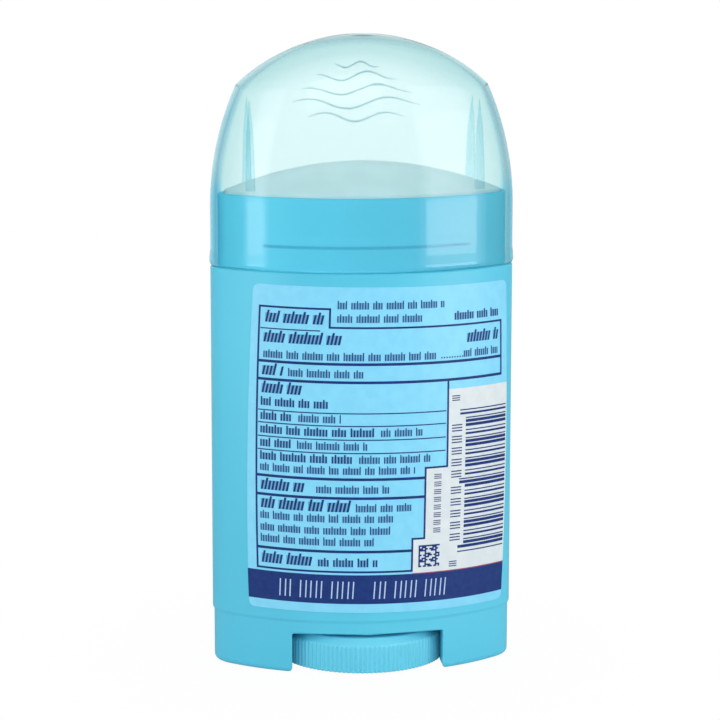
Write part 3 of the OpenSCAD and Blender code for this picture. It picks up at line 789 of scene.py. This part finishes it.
clear, tree = material("clear_mint_plastic")
x, _, z = tree.place()
depth = from_outline(tree, x, z)
# Painted shade: the wall's colour deepens towards the outline as seen from the front, deeper still within 2
# mm of it, and less over the crown
outline_shade_share = (1 - depth.over(0.3, 10)) ** 1.7
body = tree.mix(outline_shade_share, rgb(251, 254, 254), rgb(233, 245, 245))
outline_painted_shade = tree.mix(z.over(104, 115), rgb(190, 225, 239), rgb(218, 239, 243))
body = tree.mix(depth.over(0.5, 1.9), outline_painted_shade, body)
# Painted: a blue on the skirt's ends near the outline, standing in for the neck seen edge-on through the
# wall
off_skirt = depth.over(0.9, 2.1) + z.over(RIM_Z - 2, RIM_Z + 7)
body = tree.mix(off_skirt.over(0, 1), rgb(142, 217, 240), body)
taken = {"Color": (0.1, 0.76, 0.78, 1), "Density": 140.0}
tint = tree.add("ShaderNodeVolumeAbsorption", inputs=taken)
clear_plastic(tree, body, 1.49, Volume=tint)
cap = piece_from("clear_cap", cap_points(), clear, 20)

# %% [markdown]
# The ribs stand in the wall and are seen through it, edge-on, so nearly all their light goes straight. A
# weak bend and a teal tint give the thin upright bands that they show as.

# %% Stop ribs
rib_plastic, tree = material("clear_rib_plastic")
clear_plastic(tree, rgb(208, 238, 243), 1.004)
fins = [rib_points(sx, sy) for sx in (1, -1) for sy in (1, -1)]
ribs = piece_from("stop_ribs", joined(*fins), rib_plastic, 20)

# %% [markdown]
# ## The label
# The label is a printed film on the barrel's back. It is flat when it is printed, so everything on it is
# laid out on its own plane, u across and v up, and one function wraps that plane round the barrel: u is a
# length round the oval. The real label sits a touch askew and its sides bow out, and both are in the
# function too.

# %% Wrap the label's plane round the barrel
LABEL_LEFT, LABEL_RIGHT, LABEL_LOW_Z, LABEL_TOP_Z = 11.3, 5.3, 12.1, 73.7
LABEL_W, LABEL_H = 2 * HALF_GIRTH - LABEL_LEFT - LABEL_RIGHT, LABEL_TOP_Z - LABEL_LOW_Z
LABEL_MID, LEAN, BOW, CORNER = (LABEL_LEFT - LABEL_RIGHT) / 2, math.radians(0.66), 0.8, 1.2
FILM_T, INK_T, TAPER = 0.1, 0.04, 0.55
print(f"label {LABEL_W:.1f} mm round the barrel and {LABEL_H:.1f} mm high")


def wrapped(u, v, lift):
    """From the label's plane, measured from its middle, to the barrel. The sides bow: u grows by
    2 bow / width (1 - (2 v / height)^2). The length s round the oval is then found as a turn of the
    normal, s / R on the wide arc and on along the end arc, and the point stands lift off the skin."""
    u, v, lift = np.broadcast_arrays(*(np.asarray(value, float) for value in (u, v, lift)))
    u = u * (1 + 2 * BOW / LABEL_W * (1 - (2 * v / LABEL_H) ** 2))
    s = LABEL_MID + u * math.cos(LEAN) + v * math.sin(LEAN)
    z = (LABEL_LOW_Z + LABEL_TOP_Z) / 2 - u * math.sin(LEAN) + v * math.cos(LEAN)
    far, sign = np.abs(s) > SIDE_LEN, np.sign(s)
    turn = np.where(far, sign * (SIDE_TURN + (np.abs(s) - SIDE_LEN) / END_R), s / SIDE_R)
    cx, cy = np.where(far, sign * (HALF_W - END_R), 0), np.where(far, 0, SIDE_R - HALF_D)
    radius = np.where(far, END_R, SIDE_R) + lift
    return np.stack([cx + radius * np.sin(turn), cy - radius * np.cos(turn), z], -1)


# %% Film and printed patches
def film_points(rows=64, cols=100):
    """A grid whose rows are as wide as the label, drawn in by r - sqrt(r^2 - h^2) within a corner. Its left
    edge is cut a little askew: it stands in by TAPER at the top."""
    near = CORNER * (1 - np.cos(np.linspace(0, np.pi / 2, 8)))
    even = np.linspace(CORNER, LABEL_H - CORNER, rows)[1:-1]
    v = np.hstack([near, even, LABEL_H - near[::-1]]) - LABEL_H / 2
    into = np.clip(np.abs(v) - (LABEL_H / 2 - CORNER), 0, CORNER)
    half = LABEL_W / 2 - CORNER + np.sqrt(CORNER**2 - into**2)
    f = np.linspace(-1, 1, cols)
    u, v = f[None] * half[:, None], v[:, None] + 0 * f[None]
    u = u + TAPER * np.clip(-f, 0, 1) * (v / LABEL_H + 0.5)
    return sandwich(wrapped(u, v, FILM_T), wrapped(u, v, -0.03))


def sandwich(top, under):
    """A closed sheet between two equal grids of points (m, n, 3)."""
    m, n = top.shape[:2]
    faces = quads(m, n, closed=False)
    back = [[m * n + v for v in face[::-1]] for face in faces]
    ids = np.arange(m * n).reshape(m, n)
    edge = np.hstack([ids[0], ids[1:, -1], ids[-1, -2::-1], ids[-2:0:-1, 0]])
    nxt = np.roll(edge, -1)
    rim = np.stack([edge, edge + m * n, nxt + m * n, nxt], -1).tolist()
    return np.vstack([top.reshape(-1, 3), under.reshape(-1, 3)]), faces + back + rim


def patches(boxes, cols=1, rows=1, high=FILM_T + INK_T, slant=0.0):
    """Printed patches, each (u0, v0, u1, v1), as closed sheets of ink. Upright sides lean by slant."""
    boxes = np.asarray(boxes, float)
    a, b = np.linspace(0, 1, cols + 1), np.linspace(0, 1, rows + 1)
    u = boxes[:, 0, None, None] + (boxes[:, 2] - boxes[:, 0])[:, None, None] * a[None, None]
    v = boxes[:, 1, None, None] + (boxes[:, 3] - boxes[:, 1])[:, None, None] * b[None, :, None]
    u, v = u + slant * (v - boxes[:, 1, None, None]), v + 0 * u
    count = (cols + 1) * (rows + 1)
    sheets = [wrapped(u, v, lift).reshape(len(boxes), count, 3) for lift in (high, FILM_T - 0.01)]
    blank = np.zeros((rows + 1, cols + 1, 3))
    pattern = np.array(sandwich(blank, blank)[1])
    faces = pattern[None] + 2 * count * np.arange(len(boxes))[:, None, None]
    return np.concatenate(sheets, 1).reshape(-1, 3), faces.reshape(-1, 4).tolist()


# %% [markdown]
# ## What is printed on it
# A pack's back label carries framed small print, a bar code and a dark band. The words aren't the
# object's shape, so each line of print becomes a run of plain upright strokes, taller now and then, which
# gives the page the same grey from a distance. The bars and the square mark follow a plain rule and carry
# no number.

# %% Frame, rules and band in the dark ink
LINE, RULE, FINE = 0.36, 0.5, 0.2
# The frame's corners, as shares of the label's width and height. Lines are given by their numbers in U
# and V, from the left or lower end to the other.
U = [(share - 0.5) * LABEL_W for share in (0.041, 0.298, 0.9665, 0.728, 0.645, 0.601)]
V = [(share - 0.5) * LABEL_H for share in (0.127, 0.226, 0.444, 0.711, 0.877, 0.933)]
EDGE_U, BAND_V, TEXT_U = 0.4995 * LABEL_W, (-29.09, -23.57), -23.5


def level(u0, u1, v, width):
    """A level line at v, half a frame line longer at both ends."""
    return (u0 - LINE / 2, v - width / 2, u1 + LINE / 2, v + width / 2)


def upright(u, v0, v1):
    """An upright frame line at u, half its width longer at both ends."""
    return (u - LINE / 2, v0 - LINE / 2, u + LINE / 2, v1 + LINE / 2)


steps = [(0, 1, 5), (1, 2, 4), (4, 3, 2), (5, 4, 1), (0, 5, 0)]
rules = [(2, V[3]), (2, 16.4), (4, -8.9), (4, -5.3), (5, -19.1)]
fine_rules = [(-12.5, 22.56), (11.3, 7.15), (11.3, 4.77), (11.3, 2.17), (11.3, -0.35)]
levels = [level(U[i], U[j], V[k], LINE) for i, j, k in steps]
levels += [level(U[0], U[j], v, RULE) for j, v in rules]
levels += [level(TEXT_U, right, v, FINE) for right, v in fine_rules]
risers = [(0, 0, 5), (1, 4, 5), (2, 3, 4), (3, 2, 3), (4, 1, 2), (5, 0, 1)]
uprights = [upright(U[i], V[j], V[k]) for i, j, k in risers]
band = [(-EDGE_U, BAND_V[0], EDGE_U, BAND_V[1])]
print(len(levels), "level lines and", len(uprights), "upright ones")

# %% Small print as plain strokes
# Each line of print: its left and right ends, and the height that it stands on
HEAVY = [(-22.8, -11.2, 23.75), (-23.0, -8.0, 20.0), (15.9, 24.0, 19.8), (-23.1, -18.9, 13.8)]
HEAVY += [(-23.1, -14.9, 10.4), (-23.1, -14.5, -8.0), (-23.1, -6.0, -11.5), (-23.1, -13.0, -22.0)]
BOLD = [(-23.2, -9.9, 8.0), (-23.2, -16.6, 5.3), (-23.2, -1.6, 2.75), (-23.2, -16.8, 0.2)]
BOLD += [(-23.2, -5.6, -2.3), (13.2, 24.3, 24.2), (-12.2, -0.8, -22.0)]
LIGHT = [(-9.2, 11.6, 26.7), (-9.2, 7.2, 24.2), (-22.9, 9.9, 17.05), (15.2, 24.0, 17.05)]
LIGHT += [(-18.0, -3.6, 13.8), (-15.9, -7.7, 5.3), (-0.9, 7.3, 2.75), (-16.1, -2.8, 0.2)]
LIGHT += [(-4.8, 9.0, -2.3), (-23.2, 6.1, -4.4), (-12.5, 1.2, -8.0), (-5.3, 5.6, -11.5)]
LIGHT += [(-23.2, 2.2, -13.55), (-23.2, 1.6, -15.85), (-23.2, -1.6, -18.0)]
TALLER = 1.28


def strokes(lines, pitch, width, height):
    """Each line (u0, u1, v) as runs of upright strokes, some of them taller, and as a paler field behind
    each run. Run k has 4 + (3 k + 2 row) mod 6 strokes, and one stroke's place is free after it."""
    boxes, fields = [], []
    for row, (u0, u1, v) in enumerate(lines):
        i = np.arange(int((u1 - u0) / pitch))
        free = np.cumsum(5 + (3 * i + 2 * row) % 6) - 1
        first = np.hstack([0, free[:-1] + 1])
        first, last = first[first < i[-1]], np.minimum(free, len(i))[first < i[-1]] - 1
        tall = height * np.where((i * 5 + row * 2) % 7 < 2, TALLER, 1.0)
        u = u0 + i * pitch
        boxes.append(np.stack([u, 0 * u + v, u + width, v + tall], -1)[~np.isin(i, free)])
        foot = 0 * u[first] + v
        fields.append(np.stack([u[first], foot, u[last] + width, foot + height], -1))
    return np.vstack(boxes), np.vstack(fields)


small, small_fields = strokes(LIGHT, 0.5, 0.2, 1.22)
bold, bold_fields = strokes(BOLD, 0.56, 0.29, 1.3)
heavy, heavy_fields = strokes(HEAVY, 0.7, 0.4, 1.75)
dots_u, dots_v, dot = np.arange(10.4, 15.3, 0.55), 17.1, 0.26
dots = np.stack([dots_u, 0 * dots_u + dots_v, dots_u + dot, 0 * dots_u + dots_v + dot], -1)
print(len(small), "small strokes,", len(bold), "bold and", len(heavy), "heavy")

# %% Bars and the square mark
BARS, BARS_LOW, BARS_TOP, BARS_LEFT, BARS_RIGHT = 36, -20.2, 7.7, 15.75, 25.75
LONG_BARS, LONG_LEFT = (0, 1, 17, 18, 34, 35), 14.5
bar = np.arange(BARS)
pitch = (BARS_TOP - BARS_LOW) / BARS
thick = pitch * (0.28 + 0.11 * ((3 * bar**2 + bar) % 5))
left, low = np.where(np.isin(bar, LONG_BARS), LONG_LEFT, BARS_LEFT), BARS_LOW + pitch * bar
bars = np.stack([left, low, 0 * bar + BARS_RIGHT, low + thick], -1)
CELLS, MARK_LEFT, MARK_LOW, MARK_SIZE = 14, 6.5, -22.4, 4.2
i, j = (grid.ravel() for grid in np.meshgrid(np.arange(CELLS), np.arange(CELLS)))
filled = ((i * i + 3 * i * j + 2 * j) % 7 < 3) | (i == 0) | (j == CELLS - 1)
cell = MARK_SIZE / CELLS
i, j = i[filled], j[filled]
corners = [MARK_LEFT + i * cell, MARK_LOW + j * cell, MARK_LEFT + (i + 1) * cell, MARK_LOW + (j + 1) * cell]
cells = np.stack(corners, -1)
print(BARS, "bars and", len(cells), "dark cells")


# %% Columns of dashes beside the bars
def dashes(mid_v, u0, u1, gap, thick):
    """Three level dashes about each of the heights mid_v, a small grey block from a distance."""
    v = (np.asarray(mid_v)[:, None] + gap * np.array([-1, 0, 1])[None]).ravel()
    return np.stack([u0 + 0 * v, v - thick / 2, u1 + 0 * v, v + thick / 2], -1)


five, eight = np.arange(5), np.arange(8)
column = dashes(np.hstack([3.7 - 2.2 * five, -8.2 - 2.25 * five]), 12.75, 14.95, 0.55, 0.21)
ends = dashes([9.4, -22.3], 12.75, 14.4, 0.42, 0.18)
small_column = dashes(-5.2 - 1.47 * eight, 9.3, 10.75, 0.36, 0.15)

# %% [markdown]
# ## Film and inks
# The film is semi-gloss, smoother than the barrel, so it catches the light as one sheet. Ink on film is
# flat and even, with a slight mottle where it lies thick. Each ink is its own thin piece, so it can be
# seen edge-on.


# %% Film and ink finishes
def coated(name, dark, light, rough, per_m=500, gloss=0.5):
    """Film or ink: two close colours in a fine mottle."""
    made, tree = material(name)
    mottle = tree.noise(per_m, detail=3)
    look = {
        "Base Color": tree.mix(mottle.over(0.3, 0.7), dark, light),
        "Roughness": rough + 0.06 * mottle,
        "Specular IOR Level": gloss,
        "Normal": tree.bump(mottle, 0.01, 0.2),
    }
    tree.shade(Surface=tree.principled(look))
    return made


film_plastic = coated("label_film", rgb(124, 207, 240), rgb(130, 212, 243), 0.34, gloss=0.4)
dark_ink = coated("navy_ink", rgb(22, 50, 114), rgb(28, 56, 122), 0.42, 900, gloss=0.2)
pale_ink = coated("pale_ink", rgb(209, 219, 223), rgb(216, 225, 228), 0.42, gloss=0.3)
lot_ink = coated("pale_lot_ink", rgb(174, 198, 230), rgb(184, 206, 236), 0.42, gloss=0.3)
tone_ink = coated("mid_blue_ink", rgb(92, 160, 200), rgb(100, 168, 207), 0.42, gloss=0.3)
seam_ink = coated("dull_red_ink", rgb(168, 92, 104), rgb(176, 100, 110), 0.42, gloss=0.2)

# %% Label and dark print
ON_INK = FILM_T + 2 * INK_T
label = piece_from("wrapped_label", film_points(), film_plastic, 40)
dark = joined(
    patches(levels, cols=48),
    patches(uprights, rows=24),
    patches(band, cols=72, rows=3),
    patches(np.vstack([small, dots])),
    patches(np.vstack([column, ends, small_column]), cols=3, high=ON_INK),
    patches(bold),
    patches(heavy, slant=0.2),
    patches(bars, cols=10, high=ON_INK),
    patches(cells, high=ON_INK),
)
dark_print = piece_from("dark_print", dark, dark_ink)

# %% Pale panel
PANEL_TOP = 11.2
in_line = LINE / 2
panel = [
    (U[3] + in_line, V[2] + 0.1, EDGE_U, PANEL_TOP),
    (U[4] + in_line, V[1] + 0.1, EDGE_U, V[2] + 0.1),
    (U[5] + in_line, BAND_V[1], EDGE_U, V[1] + 0.1),
]
pale_print = piece_from("pale_print", patches(panel, cols=30, rows=24), pale_ink)

# %% Pale marks on the band
LOT_LOW, LOT_TOP, LOT_W, LOT_LEFT, LOT_PITCH, LOT_PAIR = -28.1, -24.8, 0.22, -19.7, 1.97, 1.05


def pale_strokes(u):
    """Upright strokes on the band, from their left edges u."""
    return np.stack([u, 0 * u + LOT_LOW, u + LOT_W, 0 * u + LOT_TOP], -1)


spots = np.delete(np.arange(17), 8)
lot_u, two = LOT_LEFT + LOT_PITCH * spots, spots % 3 != 1
lot = np.vstack([pale_strokes(lot_u), pale_strokes(lot_u[two] + LOT_PAIR)])
lot_marks = piece_from("lot_marks", patches(lot, high=ON_INK, slant=0.06), lot_ink)

# %% Seam line over the band, and the paler fields behind the strokes
seam = [(U[5] + in_line, BAND_V[1] - 0.03, EDGE_U, BAND_V[1] + 0.13)]
print_seam = piece_from("print_seam", patches(seam, cols=30, high=ON_INK), seam_ink)
tone = patches(np.vstack([small_fields, bold_fields, heavy_fields]), cols=4, high=FILM_T + 0.6 * INK_T)
print_tone = piece_from("print_tone", tone, tone_ink)

# %% [markdown]
# ## The line ornament on the cap's far side
# Five thin waves are printed on the back of the cap and show through it. Each is a flat ribbon that lies
# on the curved back: its middle line is a sine, and its width falls to nothing at both ends. A ribbon of
# its own keeps the line crisp, which a pattern in the clear plastic wouldn't.


# %% Waves
WAVE_W = 0.32


def wave_points(mid_z, length, height, phase, rows=90):
    """A ribbon on the cap's back along z = mid + height (1 + sin(pi q)) / 2 sin(3 pi q + phase), with half
    width w sin(pi q)^0.5."""
    q = np.linspace(0.004, 0.996, rows)[:, None]
    x = -length / 2 + length * q
    z = mid_z + height * np.sin(3 * np.pi * q + phase) * (0.5 + 0.5 * np.sin(np.pi * q))
    half = WAVE_W / 2 * np.sin(np.pi * q) ** 0.5
    side = np.linspace(-1, 1, 3)[None]
    z = z + half * side
    x = x + 0 * side
    y = cap_y(x, z, 0.0)
    return sandwich(np.stack([x, y + 0.03, z], -1), np.stack([x, y - 0.04, z], -1))


ornament_ink = coated("pale_blue_ink", rgb(222, 245, 248), rgb(229, 248, 250), 0.4)
# Each wave's middle height, length, height and phase
WAVES = [(102.8, 19, 1.0, 0.0), (105.5, 25, 1.2, 0.6), (108.2, 22, 1.2, 1.2)]
WAVES += [(110.9, 16, 1.0, 1.8), (113.3, 9, 0.7, 2.4)]
waves = [wave_points(*wave) for wave in WAVES]
ornament = piece_from("wave_lines", joined(*waves), ornament_ink, 60)

# %% [markdown]
# ## Each piece on its body
# The pack has four bodies: the barrel with its label, the wheel with its screw, the stick with its
# carrier, and the cap. The first stands still, and the others move. Every piece rides on the body of the
# CAD node that it stands for.

# %% Ride and replace
DRESSED = [
    (barrel, "barrel_body", "barrel", "barrel_plastic"),
    (thumbwheel, "thumbwheel_body", "thumbwheel", "wheel_plastic"),
    (stick, "stick_body", "product_stick", "stick_solid"),
    (cap, "cap_body", "cap", "clear_plastic"),
    (ribs, "cap_body", None, "clear_plastic"),
    (label, "barrel_body", "back_label", "label_film"),
    (dark_print, "barrel_body", "label_dark_print", "dark_ink"),
    (pale_print, "barrel_body", "label_pale_print", "pale_ink"),
    (ornament, "cap_body", None, "pale_ink"),
    (lot_marks, "barrel_body", None, "pale_ink"),
    (print_tone, "barrel_body", None, "dark_ink"),
    (print_seam, "barrel_body", None, "dark_ink"),
]
for piece, body, node, slot_name in DRESSED:
    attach(piece, body)
    if node is not None:
        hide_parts(node)

# %% [markdown]
# ## Camera, floor and light
# The camera stands a little above and left of the pack, far enough off for a mild perspective. Soft boxes
# low at the sides put the upright bands on the cap, and two lower ones, which only gloss sees, put the
# clearer bands on its skirt. A low lamp fills the foot's left side, and two broad lamps, in front and
# behind, fill the rest from above. Only the front one shows through clear plastic, or the boxes would
# shine through the cap when it is seen from behind. The floor is white to the eye, with a trace of the
# shadow near the pack.

# %% Camera
DISTANCE, PITCH, AZIMUTH, ROLL = 542.309, math.radians(9.764), math.radians(-5.704), math.radians(0.072)
TARGET, FOCAL_PX, IMAGE_PX, SENSOR = Vector((-0.333, 0.0, 57.635)) * MM, 2856.47, 720, 36.0
forward = Vector(
    (-math.sin(AZIMUTH) * math.cos(PITCH), math.cos(AZIMUTH) * math.cos(PITCH), -math.sin(PITCH))
)
right = forward.cross(Vector((0, 0, 1))).normalized()
up = right.cross(forward)
right, up = (
    right * math.cos(ROLL) + up * math.sin(ROLL),
    up * math.cos(ROLL) - right * math.sin(ROLL),
)
camera = bpy.data.objects.new("camera", bpy.data.cameras.new("camera"))
camera.data.sensor_width, camera.data.lens = SENSOR, FOCAL_PX * SENSOR / IMAGE_PX
camera.data.clip_start, camera.data.clip_end = 0.01, 50
camera.matrix_world = Matrix.Translation(TARGET - forward * DISTANCE * MM) @ Matrix(
    (right, up, -forward)
).transposed().to_4x4()
bpy.context.scene.collection.objects.link(camera)
bpy.context.scene.camera = camera
print(f"lens {camera.data.lens:.1f} mm at {DISTANCE:.0f} mm")


# %% What the rays see of the studio
def rays(tree):
    """1 for camera rays, and 1 for glossy and transmission rays, as two Wires."""
    kinds = [f"Is {name} Ray" for name in ("Camera", "Glossy", "Transmission")]
    camera, glossy, passed = (tree.add("ShaderNodeLightPath", out=kind) for kind in kinds)
    return camera, tree.add("ShaderNodeMath", {"operation": "MINIMUM"}, {0: glossy + passed, 1: 1.0})


def studio_light(tree, direction):
    """What gloss and clear plastic see of the studio: a bright backdrop behind the pack, within about 15
    degrees of +Y, and a dimmer room from 40 degrees on and overhead. Light that comes through the plastic
    comes from brighter sides, and also from in front."""
    x, y, z = tree.parts(direction)
    toward = y * (x * x + y * y + 1e-6) ** -0.5
    behind, in_front = toward.over(0.72, 0.97) * (1 - z.over(0.1, 0.7)), (0 - toward).over(0.2, 0.8)
    on_gloss, through = 0.4 + 0.6 * behind, 0.75 + 0.36 * behind + 0.3 * in_front
    return on_gloss + (through - on_gloss) * tree.add("ShaderNodeLightPath", out="Is Transmission Ray")


# %% Floor
FLOOR_HALF, FLOOR_BELOW = 6000, 0.02
floor_finish, tree = material("white_floor")
place = tree.add("ShaderNodeTexCoord", out=3)
away = tree.add("ShaderNodeVectorMath", {"operation": "LENGTH"}, {0: place}, out=1)
flat = tree.add("ShaderNodeVectorMath", {"operation": "MULTIPLY"}, {0: place, 1: (1, 1, 0)})
camera_ray, other_ray = rays(tree)
strength = camera_ray + (1 - camera_ray) * studio_light(tree, flat)
paper = tree.add("ShaderNodeBsdfDiffuse", inputs={"Color": (0.93, 0.93, 0.93, 1)})
white = tree.add("ShaderNodeEmission", inputs={"Color": (1, 1, 1, 1), "Strength": strength})
share = (0.96 + 0.04 * away.over(0.03, 0.08)) * (camera_ray + other_ray)
tree.shade(Surface=tree.add("ShaderNodeMixShader", inputs={0: share, 1: paper, 2: white}))
corners = np.array([(-1, -1, 0), (1, -1, 0), (1, 1, 0), (-1, 1, 0)]) * FLOOR_HALF - [0, 0, FLOOR_BELOW]
floor = piece_from("floor", (corners, [[0, 1, 2, 3]]), floor_finish)

# %% World
FILL = 0.62
world = bpy.data.worlds.new("studio")
bpy.context.scene.world = world
tree = Tree(world)
camera_ray, other_ray = rays(tree)
studio = studio_light(tree, tree.add("ShaderNodeTexCoord", out=0))
strength = FILL + (1 - FILL) * camera_ray + (studio - FILL) * other_ray
sky = tree.add("ShaderNodeBackground", inputs={"Color": (1, 1, 1, 1), "Strength": strength})
tree.shade("ShaderNodeOutputWorld", Surface=sky)


# %% Lamps
def soft_box(name, azimuth_deg, distance, low, high, width, radiance, tilt_at):
    """An area lamp at an azimuth from -Y towards +X, from height low to high, aimed at the pack's axis at
    the height tilt_at. Its power is pi times its area times the radiance wanted."""
    a = math.radians(azimuth_deg)
    lamp = bpy.data.objects.new(name, bpy.data.lights.new(name, "AREA"))
    lamp.data.shape, lamp.data.size, lamp.data.size_y = "RECTANGLE", width, high - low
    lamp.data.energy = math.pi * width * (high - low) * radiance
    lamp.location = (distance * math.sin(a), -distance * math.cos(a), (low + high) / 2)
    aim = Vector((0, 0, tilt_at)) - lamp.location
    lamp.rotation_euler = aim.to_track_quat("-Z", "Y").to_euler()
    lamp.visible_camera = lamp.visible_transmission = False
    bpy.context.scene.collection.objects.link(lamp)
    return lamp


# Each side's azimuth, radiance and the widths of its three nested boxes, and the same for gloss alone
BOX_FAR, BOX_LOW, BOX_HIGHS = 0.32, 0.004, (0.3, 0.19, 0.12)
SIDES = [("right", 55.5, 0.74, (0.25, 0.21, 0.17)), ("left", -60, 0.8, (0.088, 0.07, 0.05))]
SHINES = [("right", 54.3, 2.15, 0.185), ("left", -60, 1.15, 0.06)]
for side, azimuth, radiance, widths in SIDES:
    for i, (width, high) in enumerate(zip(widths, BOX_HIGHS)):
        far = BOX_FAR + 0.002 * i
        soft_box(f"{side}_box_{i}", azimuth, far, BOX_LOW, high, width, radiance, high / 2)
for side, azimuth, radiance, width in SHINES:
    shine = soft_box(f"low_{side}_shine", azimuth, BOX_FAR - 0.002, BOX_LOW, 0.07, width, radiance, 0.035)
    shine.visible_diffuse = False
low_fill = soft_box("low_fill", -58, 0.3, BOX_LOW, 0.05, 0.2, 1.5, 0.005)
front, back = (
    soft_box(f"{name}_box", azimuth, 1.1, 0.5, 1.3, 1.2, radiance, 0.06)
    for name, azimuth, radiance in (("front", -10, 1.66), ("back", 170, 0.85))
)
low_fill.visible_glossy = front.visible_glossy = back.visible_glossy = False
front.visible_transmission = True
bpy.context.scene.view_settings.view_transform = "Standard"
print(len(bpy.data.lights), "lamps")
